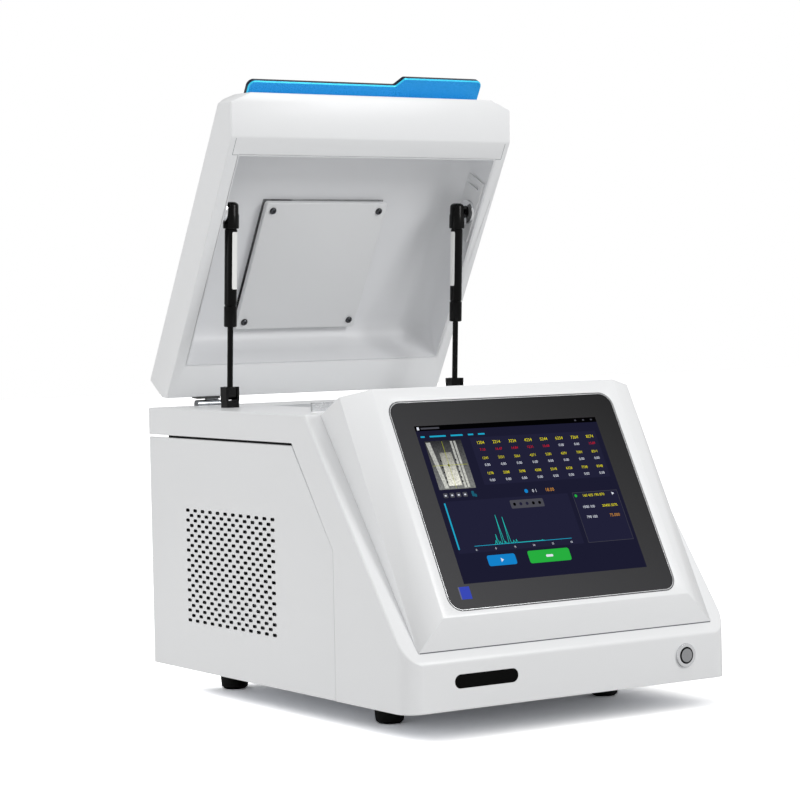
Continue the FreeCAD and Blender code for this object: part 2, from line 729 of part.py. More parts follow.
def lid_profile(inset):
    """Side outline of the lid in its own frame, drawn in by a wall."""
    nose_rise = LID_NOSE_LENGTH / math.tan(TILT)
    nose = (-LID_RIM_LENGTH - LID_NOSE_LENGTH, nose_rise)
    roof_front = (nose[0] + (LID_HEIGHT - nose_rise) / math.tan(TILT), LID_HEIGHT)
    corners = [(0, 0), (LID_REAR_BULGE, LID_REAR_BULGE_HEIGHT), (LID_REAR_LEAN, LID_REAR_LEAN_HEIGHT),
               (-LID_REAR_SLOPE, LID_HEIGHT), roof_front, nose, (-LID_RIM_LENGTH, 0)]
    face = face_of([Vector(0, y, z) for y, z in corners])
    return face.makeOffset2D(-inset, 2, False, False, False) if inset else face


def lid_body(inset):
    """Solid form of the lid, drawn in by a wall on every side."""
    half = LID_WIDTH / 2 - inset
    profile = lid_profile(inset)
    profile.translate(Vector(-half, 0, 0))
    body = profile.extrude(Vector(2 * half, 0, 0))
    cutters = []
    for side in (-1, 1):
        cutters.append(lid_shoulder(side, inset))
        cutters.append(lid_nose_corner(side, inset))
    return body.cut(cutters).removeSplitter()


def lid_shoulder(side, inset):
    """What the bevel between side and roof takes off the lid."""
    half = LID_WIDTH / 2
    draw = inset * math.sqrt(2)
    height = LID_HEIGHT - LID_SHOULDER - draw
    section = [(half + 1, height - 1), (half + 1, LID_HEIGHT + 1),
               (half - LID_SHOULDER - draw - 1, LID_HEIGHT + 1)]
    corners = [Vector(side * x, LID_HEIGHT, z) for x, z in section]
    return face_of(corners).extrude(Vector(0, -2 * LID_RIM_LENGTH, 0))


def lid_nose_corner(side, inset):
    """What the bevel between side and front takes off the lid."""
    half = LID_WIDTH / 2
    along = Vector(0, -math.sin(TILT), math.cos(TILT))
    up = Vector(0, math.cos(TILT), math.sin(TILT))
    nose = Vector(0, -LID_RIM_LENGTH - LID_NOSE_LENGTH, LID_NOSE_LENGTH / math.tan(TILT))
    draw_x = LID_CORNER_X + inset * LID_NOSE_DRAW
    draw_nose = LID_CORNER_NOSE * draw_x / LID_CORNER_X
    reach = 1.1
    lean = along * (reach * draw_nose / draw_x)
    tip = nose + X_AXIS * (side * (half + reach)) - along * draw_nose - lean
    far = nose + X_AXIS * (side * (half - draw_x - reach)) + lean
    outer = nose + X_AXIS * (side * (half + reach)) + along * reach
    blank = face_of([tip, far, far + along * reach, outer])
    blank.translate(up * -2 * LID_HEIGHT)
    return blank.extrude(up * 4 * LID_HEIGHT)


def lid_shell():
    """White outer shell of the lid with its inward rim."""
    shell = lid_body(0.0).cut(lid_body(LID_WALL))
    opening = box(-LID_WIDTH / 2 + RIM_SIDE, LID_WIDTH / 2 - RIM_SIDE,
                  -LID_RIM_LENGTH + RIM_FRONT, -RIM_REAR, -1, LID_WALL + 1)
    return on_lid(one(shell.cut(opening)))


def lid_liner():
    """Inner tray of the lid, with the four posts that carry the shield plate."""
    x = LID_WIDTH / 2 - RIM_SIDE
    front = -LID_RIM_LENGTH + RIM_FRONT
    top = LID_HEIGHT - LID_WALL
    tray = box(-x, x, front, -RIM_REAR, 0, top)
    hollow = box(-x + LINER_SHEET, x - LINER_SHEET, front + LINER_SHEET, -RIM_REAR - LINER_SHEET,
                 -1, top - LINER_SHEET)
    posts = [rod(Vector(x, y, shield_level()), Z_AXIS, STANDOFF_RADIUS, SHIELD_LIFT)
             for x, y in shield_screw_places()]
    return on_lid(one(tray.cut(hollow).fuse(posts)))


def shield_screw_places():
    """Centres of the shield plate's four screws in the lid frame."""
    half = SHIELD_SCREW_SPACING / 2
    return [(SHIELD_X + i * half, -SHIELD_CENTRE + j * half) for i in (-1, 1) for j in (-1, 1)]


def shield_level():
    """Height of the shield plate's hidden face in the lid frame."""
    return LID_HEIGHT - LID_WALL - LINER_SHEET - SHIELD_LIFT


def shield_plate():
    """Square metal plate above the sample, inside the lid."""
    half = SHIELD_SIZE / 2
    level = shield_level()
    plate = rounded_plate(SHIELD_X - half, SHIELD_X + half, -SHIELD_CENTRE - half, -SHIELD_CENTRE + half,
                          level - SHIELD_SHEET, level, SHIELD_CORNER)
    return on_lid(plate)


def shield_screws():
    """Heads of the four screws that hold the shield plate."""
    level = shield_level() - SHIELD_SHEET - SHIELD_SCREW_HEAD
    heads = [rod(Vector(x, y, level), Z_AXIS, SHIELD_SCREW_HEAD_RADIUS, SHIELD_SCREW_HEAD)
             for x, y in shield_screw_places()]
    return on_lid(Part.makeCompound(heads))


def grip_plate():
    """Stepped anodised grip plate on the lid, proud of its front edge."""
    front = -GRIP_FRONT
    step = front - GRIP_STEP
    rear = front + GRIP_LENGTH
    corners = [(GRIP_LEFT, rear), (GRIP_LEFT, front), (GRIP_STEP_X - GRIP_STEP_SLOPE / 2, front),
               (GRIP_STEP_X + GRIP_STEP_SLOPE / 2, step), (GRIP_RIGHT, step), (GRIP_RIGHT, rear)]
    plate = face_of([Vector(x, y, LID_HEIGHT) for x, y in corners]).extrude(Vector(0, 0, GRIP_THICKNESS))
    def at(x, y):
        return edges_where(plate, lambda p: near(p.x, x) and near(p.y, y))
    bends = at(GRIP_STEP_X - GRIP_STEP_SLOPE / 2, front) + at(GRIP_STEP_X + GRIP_STEP_SLOPE / 2, step)
    plate = plate.makeFillet(GRIP_STEP_RADIUS, bends)
    plate = plate.makeFillet(GRIP_RADIUS, at(GRIP_LEFT, front) + at(GRIP_RIGHT, step))
    lower = edges_where(plate, lambda p: near(p.z, LID_HEIGHT) and p.y < rear - 1)
    plate = plate.makeChamfer(GRIP_BEVEL, lower)
    return on_lid(plate)


def hinge_pin(side):
    """Bright hinge pin with a domed head."""
    x0, x1 = hinge_span(side)
    pin = rod(Vector(x0, PIVOT.y, PIVOT.z), X_AXIS, HINGE_PIN_RADIUS, HINGE_LENGTH + 1)
    head_foot = Vector(x1 + HINGE_KNUCKLE_GAP, PIVOT.y, PIVOT.z)
    head = rod(head_foot, X_AXIS, HINGE_BARREL_RADIUS - HINGE_HEAD_INSET, HINGE_PIN_HEAD)
    end = head_foot.x + HINGE_PIN_HEAD
    head = head.makeChamfer(HINGE_PIN_BEVEL, edges_where(head, lambda p: near(p.x, end)))
    return one(pin.fuse(head))


def hinge_base_leaf(side):
    """Fixed leaf: a knuckle on the pin and a strap down the rear edge of the deck."""
    x0, x1 = hinge_span(side)
    split = x0 + HINGE_LENGTH * HINGE_SPLIT
    strap_top = PIVOT.z - HINGE_BARREL_RADIUS - HINGE_STRAP_GAP
    knuckle = rod(Vector(x0, PIVOT.y, PIVOT.z), X_AXIS, HINGE_BARREL_RADIUS, split - x0)
    strap = box(x0, x1, 0, HINGE_LEAF, DECK_Z - HINGE_LEAF_LENGTH, strap_top)
    neck = box(x0, split, 0, HINGE_LEAF, strap_top, PIVOT.z)
    leaf = knuckle.fuse([strap, neck])
    return one(leaf.cut(rod(Vector(x0 - 1, PIVOT.y, PIVOT.z), X_AXIS, HINGE_PIN_RADIUS, split - x0 + 2)))


def hinge_lid_leaf(side):
    """Moving leaf: a knuckle round the pin and a black strap under the lid's rear edge."""
    x0, x1 = hinge_span(side)
    split = x0 + HINGE_LENGTH * HINGE_SPLIT + HINGE_KNUCKLE_GAP
    knuckle = rod(Vector(split, PIVOT.y, PIVOT.z), X_AXIS, HINGE_BARREL_RADIUS, x1 - split)
    strap = on_lid(lid_strap(x0, x1))
    bridge = box(split, x1, PIVOT.y, PIVOT.y + HINGE_BARREL_RADIUS, PIVOT.z,
                 strap_underside() + HINGE_LEAF / 2)
    leaf = knuckle.fuse([bridge, strap])
    bore = rod(Vector(split - 1, PIVOT.y, PIVOT.z), X_AXIS, HINGE_PIN_RADIUS + HINGE_PIN_GAP, x1 - split + 2)
    return one(leaf.cut(bore))


def strap_underside():
    """Height of the lid strap's lower face on the open lid."""
    return DECK_Z + PIVOT_RISE + HINGE_BARREL_RADIUS + HINGE_HEAD_INSET


def lid_strap(x0, x1):
    """Bent strap that follows the rear edge of the lid, in the lid frame."""
    foot = Vector(x0, 0, 0)
    knee = Vector(x0, LID_REAR_BULGE, LID_REAR_BULGE_HEIGHT)
    head = Vector(x0, LID_REAR_LEAN, LID_REAR_LEAN_HEIGHT)
    first = knee - foot
    second = head - knee
    out_first = Vector(0, first.z, -first.y).normalize() * HINGE_LEAF
    out_second = Vector(0, second.z, -second.y).normalize() * HINGE_LEAF
    turn = first.normalize().cross(second.normalize()).x
    bend = math.atan2(turn, first.dot(second))
    corner = knee + (out_first + out_second) * (0.5 / math.cos(bend / 2) ** 2)
    reach = knee + second * LID_STRAP_LENGTH
    outline = [foot, knee, reach, reach + out_second, corner, foot + out_first]
    return face_of(outline).extrude(Vector(x1 - x0, 0, 0))


def strut_foot():
    """Pivot of the strut on the deck."""
    return Vector(STRUT_X, -STRUT_FOOT_DEPTH, DECK_Z + STRUT_FOOT_RISE)


def strut_head():
    """Pivot of the strut on the open lid."""
    point = Part.Vertex(STRUT_X, -STRUT_TOP_ALONG, STRUT_TOP_DEEP)
    return on_lid(point).Point


def strut_direction():
    """Unit vector up along the strut."""
    return (strut_head() - strut_foot()).normalize()


def strut_length():
    """Distance between the strut's pivots at rest."""
    return (strut_head() - strut_foot()).Length


def along_strut(shape):
    """Move a piece from the strut frame, z up along it from its lower pivot, into place."""
    placed = shape.copy()
    turn = Rotation(Z_AXIS, strut_direction())
    placed.Placement = Placement(strut_foot(), turn).multiply(placed.Placement)
    return placed


def strut_bracket():
    """Square black clevis on the deck with the strut's lower pin."""
    foot = strut_foot()
    half = STRUT_BASE_WIDTH / 2
    base = box(STRUT_X - half, STRUT_X + half, foot.y - STRUT_BASE_LENGTH / 2, foot.y + STRUT_BASE_LENGTH / 2,
               DECK_Z, DECK_Z + STRUT_BASE_HEIGHT)
    inner = STRUT_EYE_WIDTH / 2 + STRUT_EAR_GAP
    ears = []
    for side in (-1, 1):
        x0, x1 = sorted((STRUT_X + side * inner, STRUT_X + side * (inner + STRUT_EAR)))
        ears.append(box(x0, x1, foot.y - STRUT_EAR_LENGTH / 2, foot.y + STRUT_EAR_LENGTH / 2,
                        DECK_Z + STRUT_BASE_HEIGHT, foot.z + STRUT_EYE_NECK))
    outer = inner + STRUT_EAR
    pin = rod(Vector(STRUT_X - outer, foot.y, foot.z), X_AXIS, STRUT_PIN_RADIUS, 2 * outer)
    return one(base.fuse([*ears, pin]))


def strut_rod():
    """Rod with its lower eye and the piston inside the tube."""
    foot = Vector(0, 0, 0)
    half = STRUT_EYE_WIDTH / 2
    eye = rod(Vector(-half, 0, 0), X_AXIS, STRUT_EYE_RADIUS, STRUT_EYE_WIDTH)
    neck = box(-half, half, -STRUT_EYE_RADIUS, STRUT_EYE_RADIUS, 0, STRUT_EYE_NECK)
    shaft = rod(foot, Z_AXIS, STRUT_ROD_RADIUS, STRUT_ROD_END)
    piston_radius = STRUT_TUBE_RADIUS - STRUT_TUBE_WALL - STRUT_RUNNING_GAP
    piston_foot = Vector(0, 0, STRUT_ROD_END - STRUT_PISTON_LENGTH)
    piston = rod(piston_foot, Z_AXIS, piston_radius, STRUT_PISTON_LENGTH)
    bore = rod(Vector(-half - 1, 0, 0), X_AXIS, STRUT_PIN_RADIUS + STRUT_RUNNING_GAP, STRUT_EYE_WIDTH + 2)
    return along_strut(one(eye.fuse([neck, shaft, piston]).cut(bore)))


def strut_tube():
    """Hollow cylinder with its end caps and top socket."""
    start, end = STRUT_TUBE_START, STRUT_TUBE_END
    tube = rod(Vector(0, 0, start), Z_AXIS, STRUT_TUBE_RADIUS, end - start)
    room = rod(Vector(0, 0, start + STRUT_TUBE_CAP), Z_AXIS, STRUT_TUBE_RADIUS - STRUT_TUBE_WALL,
               end - start - 2 * STRUT_TUBE_CAP)
    guide = rod(Vector(0, 0, start - 1), Z_AXIS, STRUT_ROD_RADIUS + STRUT_RUNNING_GAP, STRUT_TUBE_CAP + 2)
    tube = tube.cut([room, guide])
    top = strut_length() + STRUT_SOCKET_ABOVE
    socket_foot = end - STRUT_SOCKET_LAP
    socket = rod(Vector(0, 0, socket_foot), Z_AXIS, STRUT_SOCKET_RADIUS, top - socket_foot)
    socket = socket.makeChamfer(STRUT_BEVEL, edges_where(socket, lambda p: near(p.z, top)))
    return along_strut(one(tube.fuse(socket)))


def lid_bracket():
    """Plate on the lid's inner side wall that carries the strut's stud."""
    wall = LID_WIDTH / 2 - RIM_SIDE - LINER_SHEET
    top = -LID_BRACKET_TOP
    plate = box(wall - LID_BRACKET_SHEET, wall, top, top + LID_BRACKET_LENGTH,
                LID_WALL, LID_WALL + LID_BRACKET_DEPTH)
    corner = edges_where(plate, lambda p: near(p.z, LID_WALL + LID_BRACKET_DEPTH) and near(p.y, top))
    plate = plate.makeChamfer(LID_BRACKET_BEVEL, corner)
    middle = LID_WALL + LID_BRACKET_DEPTH / 2
    start = top + LID_BRACKET_SLOT_INSET
    slot = box(wall - 2 * LID_BRACKET_SHEET, wall + 1, start, start + LID_BRACKET_SLOT_WIDTH,
               middle - LID_BRACKET_SLOT / 2, middle + LID_BRACKET_SLOT / 2)
    return on_lid(one(plate.cut(slot)))


def strut_stud():
    """Disc and ball neck on the lid bracket, just short of the strut's socket."""
    face = LID_WIDTH / 2 - RIM_SIDE - LINER_SHEET - LID_BRACKET_SHEET
    centre = Vector(face - STUD_DISC, -STRUT_TOP_ALONG, STRUT_TOP_DEEP)
    disc = rod(centre, X_AXIS, STUD_DISC_RADIUS, STUD_DISC)
    start = STRUT_X + STRUT_SOCKET_RADIUS + STUD_OPEN_GAP
    neck = rod(Vector(start, centre.y, centre.z), X_AXIS, STUD_NECK_RADIUS, face - STUD_DISC - start)
    return on_lid(one(disc.fuse(neck)))


def stage_plate():
    """Flush sample stage with the measuring aperture and a seat for the window ring."""
    plate = stage_blank(0.0, DECK_Z - WALL, DECK_Z)
    centre = Vector(SAMPLE_X, -SAMPLE_DEPTH, DECK_Z - 2 * WALL)
    bore = rod(centre, Z_AXIS, APERTURE_RADIUS, 4 * WALL)
    seat_foot = Vector(SAMPLE_X, -SAMPLE_DEPTH, DECK_Z - WINDOW_RING_HEIGHT)
    seat = rod(seat_foot, Z_AXIS, WINDOW_RING_RADIUS, 4 * WALL)
    return one(plate.cut([bore, seat]))


def window_ring():
    """Steel ring round the measuring aperture, in its seat in the stage."""
    centre = Vector(SAMPLE_X, -SAMPLE_DEPTH, DECK_Z - WINDOW_RING_HEIGHT)
    ring = rod(centre, Z_AXIS, WINDOW_RING_RADIUS, WINDOW_RING_HEIGHT)
    return one(ring.cut(rod(centre, Z_AXIS, APERTURE_RADIUS, WINDOW_RING_HEIGHT)))


def shield_sill():
    """Low steel strip across the deck, inside the closed lid's front rim."""
    half = SILL_WIDTH / 2
    front = -SILL_DEPTH - SILL_SHEET / 2
    return box(-half, half, front, front + SILL_SHEET, DECK_Z, DECK_Z + SILL_HEIGHT)


def interlock_switch():
    """Lid switch under the deck."""
    top = DECK_Z - WALL
    body = box(INTERLOCK_X - INTERLOCK_WIDTH / 2, INTERLOCK_X + INTERLOCK_WIDTH / 2,
               -INTERLOCK_DEPTH - INTERLOCK_LENGTH / 2, -INTERLOCK_DEPTH + INTERLOCK_LENGTH / 2,
               top - INTERLOCK_HEIGHT, top)
    well = rod(Vector(INTERLOCK_X, -INTERLOCK_DEPTH, top - INTERLOCK_HEIGHT + INTERLOCK_FLOOR), Z_AXIS,
               PLUNGER_RADIUS + PLUNGER_GAP, INTERLOCK_HEIGHT)
    return one(body.cut(well))


def interlock_plunger():
    """Sprung plunger that the closing lid works."""
    top = DECK_Z + PLUNGER_PROUD
    foot = Vector(INTERLOCK_X, -INTERLOCK_DEPTH, top - PLUNGER_LENGTH)
    return rod(foot, Z_AXIS, PLUNGER_RADIUS, PLUNGER_LENGTH)


def head_top():
    """Top of the measuring head, which carries the stage."""
    return DECK_Z - WALL


def sample_point():
    """Measured spot on the stage."""
    return Vector(SAMPLE_X, -SAMPLE_DEPTH, DECK_Z)


def detector_direction():
    """Unit vector from the sample down to the detector."""
    angle = math.radians(DETECTOR_ANGLE)
    return Vector(-math.sin(angle), 0, -math.cos(angle))


def camera_direction():
    """Unit vector from the sample down to the camera."""
    angle = math.radians(CAMERA_ANGLE)
    return Vector(0, -math.sin(angle), -math.cos(angle))


def wheel_level():
    """Bottom of the collimator wheel."""
    return head_top() - WHEEL_BELOW


def measuring_head():
    """Aluminium block with bores for tube, detector, camera and collimator wheel."""
    top = head_top()
    half_x = HEAD_WIDTH / 2
    half_y = HEAD_LENGTH / 2
    block = box(SAMPLE_X - half_x, SAMPLE_X + half_x, -SAMPLE_DEPTH - half_y, -SAMPLE_DEPTH + half_y,
                top - HEAD_HEIGHT, top)
    beam = rod(Vector(SAMPLE_X, -SAMPLE_DEPTH, top - HEAD_HEIGHT - 1), Z_AXIS, TUBE_RADIUS, HEAD_HEIGHT + 2)
    detector = rod(sample_point(), detector_direction(), DETECTOR_RADIUS, BORE_REACH)
    camera = rod(sample_point(), camera_direction(), CAMERA_RADIUS, BORE_REACH)
    wheel_x = SAMPLE_X + WHEEL_OFFSET
    reach = WHEEL_RADIUS + WHEEL_SLOT_MARGIN
    middle = wheel_level() + WHEEL_THICKNESS / 2
    slot = box(wheel_x - reach, SAMPLE_X + half_x + 1, -SAMPLE_DEPTH - reach, -SAMPLE_DEPTH + reach,
               middle - WHEEL_SLOT / 2, middle + WHEEL_SLOT / 2)
    shaft = rod(Vector(wheel_x, -SAMPLE_DEPTH, top - HEAD_HEIGHT - 1), Z_AXIS, WHEEL_SHAFT_RADIUS + FIT_GAP,
                middle - top + HEAD_HEIGHT)
    return one(block.cut([beam, detector, camera, slot, shaft]))


def xray_tube():
    """X-ray tube that points up at the sample."""
    top = head_top() - TUBE_TOP_BELOW
    return rod(Vector(SAMPLE_X, -SAMPLE_DEPTH, top - TUBE_LENGTH), Z_AXIS, TUBE_RADIUS, TUBE_LENGTH)


def detector():
    """Silicon drift detector at the side of the beam."""
    direction = detector_direction()
    start = sample_point() + direction * DETECTOR_START
    nose = rod(start, direction, DETECTOR_NOSE_RADIUS, DETECTOR_NOSE_LENGTH)
    body = rod(start + direction * DETECTOR_NOSE_LENGTH, direction, DETECTOR_RADIUS,
               DETECTOR_LENGTH - DETECTOR_NOSE_LENGTH)
    return one(nose.fuse(body))


def camera_module():
    """Small camera that shows the sample on the screen."""
    direction = camera_direction()
    start = sample_point() + direction * CAMERA_START
    barrel = rod(start, direction, CAMERA_RADIUS, CAMERA_LENGTH)
    back = rod(start + direction * CAMERA_LENGTH, direction, CAMERA_BACK_RADIUS, CAMERA_BACK_LENGTH)
    return one(barrel.fuse(back))


def collimator_wheel():
    """Wheel with four collimator bores, one of them in the beam."""
    z = wheel_level()
    centre = Vector(SAMPLE_X + WHEEL_OFFSET, -SAMPLE_DEPTH, z)
    disc = rod(centre, Z_AXIS, WHEEL_RADIUS, WHEEL_THICKNESS)
    bores = []
    for k in range(WHEEL_HOLES):
        angle = math.pi + 2 * math.pi * k / WHEEL_HOLES
        place = centre + Vector(math.cos(angle), math.sin(angle), 0) * WHEEL_OFFSET
        bores.append(rod(place, Z_AXIS, WHEEL_HOLE_RADIUS - k * WHEEL_HOLE_STEP, WHEEL_THICKNESS))
    hub_bore = rod(centre, Z_AXIS, WHEEL_SHAFT_RADIUS + HINGE_PIN_GAP, WHEEL_THICKNESS)
    return one(disc.cut([*bores, hub_bore]))


def collimator_motor():
    """Small motor under the head whose shaft carries the wheel."""
    bottom = head_top() - HEAD_HEIGHT
    centre = Vector(SAMPLE_X + WHEEL_OFFSET, -SAMPLE_DEPTH, bottom - MOTOR_LENGTH)
    body = rod(centre, Z_AXIS, MOTOR_RADIUS, MOTOR_LENGTH)
    shaft_top = wheel_level() + WHEEL_THICKNESS + 1
    shaft = rod(centre, Z_AXIS, WHEEL_SHAFT_RADIUS, shaft_top - centre.z)
    return one(body.fuse(shaft))


def case_box(size, x, y):
    """Closed metal case on the base sheet, from its left front corner."""
    return box(x, x + size[0], y, y + size[1], FLOOR_Z, FLOOR_Z + size[2])


def main_board():
    """Processor board on four posts, with its larger chips."""
    x, y = BOARD_PLACE
    width, length, sheet = BOARD_SIZE
    z = FLOOR_Z + BOARD_LIFT
    board = box(x, x + width, y, y + length, z, z + sheet)
    inset = BOARD_POST_INSET
    half = BOARD_POST / 2
    posts = [box(px - half, px + half, py - half, py + half, FLOOR_Z, z)
             for px in (x + inset, x + width - inset) for py in (y + inset, y + length - inset)]
    top = z + sheet
    chips = [box(x + cx, x + cx + wide, y + cy, y + cy + long, top, top + high)
             for cx, cy, wide, long, high in BOARD_CHIPS]
    return one(board.fuse([*posts, *chips]))


def rear_face():
    """Depth of the rear panel's outer face."""
    return -REAR_RECESS


def rear_panel():
    """Recessed rear sheet with openings for fan, inlet and switch."""
    y = rear_face()
    half = HALF - WALL - FRAME_SHEET
    sheet = box(-half, half, y - REAR_SHEET, y, FLOOR_Z, DECK_Z - WALL)
    z = BASE_Z + INLET_RISE
    through = 2 * REAR_SHEET
    inlet = box(INLET_X - INLET_WIDTH / 2, INLET_X + INLET_WIDTH / 2, y - through, y + through,
                z - INLET_HEIGHT / 2, z + INLET_HEIGHT / 2)
    half_x = ROCKER_WIDTH / 2 + ROCKER_FRAME
    half_z = ROCKER_HEIGHT / 2 + ROCKER_FRAME
    switch = box(ROCKER_X - half_x, ROCKER_X + half_x, y - through, y + through, z - half_z, z + half_z)
    return one(sheet.cut([inlet, switch, *grille_slots()]))


def grille_slots():
    """Level slots in front of the fan, shorter towards the top and the bottom of its bore."""
    centre = fan_centre()
    through = 2 * REAR_SHEET
    slots = []
    for k in range(GRILLE_SLOTS):
        rise = (k - (GRILLE_SLOTS - 1) / 2) * GRILLE_PITCH
        reach = math.sqrt(FAN_BORE_RADIUS**2 - rise**2) - GRILLE_MARGIN
        slots.append(box(centre.x - reach, centre.x + reach, centre.y - through, centre.y + through,
                         centre.z + rise - GRILLE_HEIGHT / 2, centre.z + rise + GRILLE_HEIGHT / 2))
    return slots


def fan_centre():
    """Centre of the fan on the rear panel's outer face."""
    return Vector(FAN_X, rear_face(), BASE_Z + FAN_RISE)


def cooling_fan():
    """Fan frame with its spokes, motor seat and axle."""
    centre = fan_centre()
    front = centre.y - REAR_SHEET - FAN_DEPTH
    half = FAN_SIZE / 2
    frame = box(FAN_X - half, FAN_X + half, front, front + FAN_DEPTH, centre.z - half, centre.z + half)
    frame = frame.cut(rod(Vector(FAN_X, front - 1, centre.z), Y_AXIS, FAN_BORE_RADIUS, FAN_DEPTH + 2))
    seat = rod(Vector(FAN_X, front, centre.z), Y_AXIS, FAN_HUB_RADIUS, FAN_MOTOR_DEPTH)
    spokes = [box(FAN_X - half, FAN_X + half, front, front + FAN_SPOKE,
                  centre.z - FAN_SPOKE / 2, centre.z + FAN_SPOKE / 2),
              box(FAN_X - FAN_SPOKE / 2, FAN_X + FAN_SPOKE / 2, front, front + FAN_SPOKE,
                  centre.z - half, centre.z + half)]
    axle = rod(Vector(FAN_X, front, centre.z), Y_AXIS, FAN_AXLE_RADIUS, FAN_MOTOR_DEPTH + FAN_ROTOR_DEPTH - 2)
    return one(frame.fuse([seat, *spokes, axle]))


def fan_rotor():
    """Hub with pitched blades, running on the axle."""
    centre = fan_centre()
    start = centre.y - REAR_SHEET - FAN_DEPTH + FAN_MOTOR_DEPTH + FAN_ROTOR_GAP
    hub = rod(Vector(FAN_X, start, centre.z), Y_AXIS, FAN_HUB_RADIUS, FAN_ROTOR_DEPTH)
    blades = []
    for k in range(FAN_BLADES):
        blade = box(-FAN_BLADE_THICKNESS / 2, FAN_BLADE_THICKNESS / 2, -FAN_ROTOR_DEPTH / 2 + 1,
                    FAN_ROTOR_DEPTH / 2 - 1, FAN_HUB_RADIUS - FAN_BLADE_ROOT, FAN_BLADE_RADIUS)
        blade.rotate(Vector(0, 0, 0), Z_AXIS, FAN_BLADE_PITCH)
        blade.rotate(Vector(0, 0, 0), Y_AXIS, 360.0 * k / FAN_BLADES)
        blade.translate(Vector(FAN_X, start + FAN_ROTOR_DEPTH / 2, centre.z))
        blades.append(blade)
    bore_foot = Vector(FAN_X, start - 1, centre.z)
    bore = rod(bore_foot, Y_AXIS, FAN_AXLE_RADIUS + FAN_AXLE_GAP, FAN_ROTOR_DEPTH - 1)
    return one(hub.fuse(blades).cut(bore))


def power_inlet():
    """Mains inlet with its flange and three pins."""
    y = rear_face()
    z = BASE_Z + INLET_RISE
    half_x = INLET_WIDTH / 2
    half_z = INLET_HEIGHT / 2
    flange = box(INLET_X - INLET_FLANGE_WIDTH / 2, INLET_X + INLET_FLANGE_WIDTH / 2, y, y + INLET_FLANGE,
                 z - INLET_FLANGE_HEIGHT / 2, z + INLET_FLANGE_HEIGHT / 2)
    body = box(INLET_X - half_x, INLET_X + half_x, y - INLET_DEPTH, y, z - half_z, z + half_z)
    room = box(INLET_X - half_x + INLET_WALL, INLET_X + half_x - INLET_WALL, y - INLET_DEPTH + INLET_WALL,
               y + INLET_FLANGE + 1, z - half_z + INLET_WALL, z + half_z - INLET_WALL)
    width, height, length = INLET_PIN
    pins = []
    drop = INLET_PIN_DROP
    for dx, dz in ((-INLET_PIN_SPACING, -drop), (0, drop), (INLET_PIN_SPACING, -drop)):
        pins.append(box(INLET_X + dx - width / 2, INLET_X + dx + width / 2, y - INLET_DEPTH,
                        y - INLET_DEPTH + length, z + dz - height / 2, z + dz + height / 2))
    return one(flange.fuse(body).cut(room).fuse(pins))


def rocker_centre():
    """Centre of the mains switch on the rear panel's outer face."""
    return Vector(ROCKER_X, rear_face(), BASE_Z + INLET_RISE)


def rocker_axis_depth():
    """Depth of the rocker's pin."""
    return rear_face() + ROCKER_FRAME_PROUD - ROCKER_AXIS_SINK


def rocker_frame():
    """Frame and box of the mains switch."""
    centre = rocker_centre()
    half_x = ROCKER_WIDTH / 2
    half_z = ROCKER_HEIGHT / 2
    lip = ROCKER_FRAME + ROCKER_LIP
    flange = box(centre.x - half_x - lip, centre.x + half_x + lip, centre.y, centre.y + ROCKER_FRAME_PROUD,
                 centre.z - half_z - lip, centre.z + half_z + lip)
    body = box(centre.x - half_x - ROCKER_FRAME, centre.x + half_x + ROCKER_FRAME,
               centre.y - ROCKER_DEPTH, centre.y,
               centre.z - half_z - ROCKER_FRAME, centre.z + half_z + ROCKER_FRAME)
    room = box(centre.x - half_x, centre.x + half_x, centre.y - ROCKER_DEPTH + ROCKER_FRAME,
               centre.y + ROCKER_FRAME_PROUD + 1, centre.z - half_z, centre.z + half_z)
    pin = rod(Vector(centre.x - half_x - 0.5, rocker_axis_depth(), centre.z), X_AXIS, ROCKER_PIN_RADIUS,
              2 * half_x + 1)
    return one(flange.fuse(body).cut(room).fuse(pin))


def rocker_button():
    """Rocker of the mains switch, tipped to its off side at rest."""
    axis_y = rocker_axis_depth()
    centre = rocker_centre()
    half_x = ROCKER_WIDTH / 2 - ROCKER_GAP
    half_z = ROCKER_HEIGHT / 2 - ROCKER_END_GAP
    skirt = half_z - ROCKER_SKIRT_TAPER
    shoulder = ROCKER_FACE - ROCKER_SHOULDER
    crest = ROCKER_FACE - ROCKER_CREST
    outline = [(-ROCKER_SKIRT, -skirt), (-ROCKER_SKIRT, skirt), (shoulder, half_z),
               (crest, half_z - ROCKER_CREST), (ROCKER_FACE - ROCKER_VALLEY, 0),
               (crest, -half_z + ROCKER_CREST), (shoulder, -half_z)]
    rocker = prism_x(outline, -half_x, half_x)
    bore = rod(Vector(-half_x - 1, 0, 0), X_AXIS, ROCKER_PIN_RADIUS + ROCKER_PIN_GAP, 2 * half_x + 2)
    rocker = rocker.cut(bore)
    rocker.rotate(Vector(0, 0, 0), X_AXIS, ROCKER_ANGLE)
    rocker.translate(Vector(centre.x, axis_y, centre.z))
    return one(rocker)


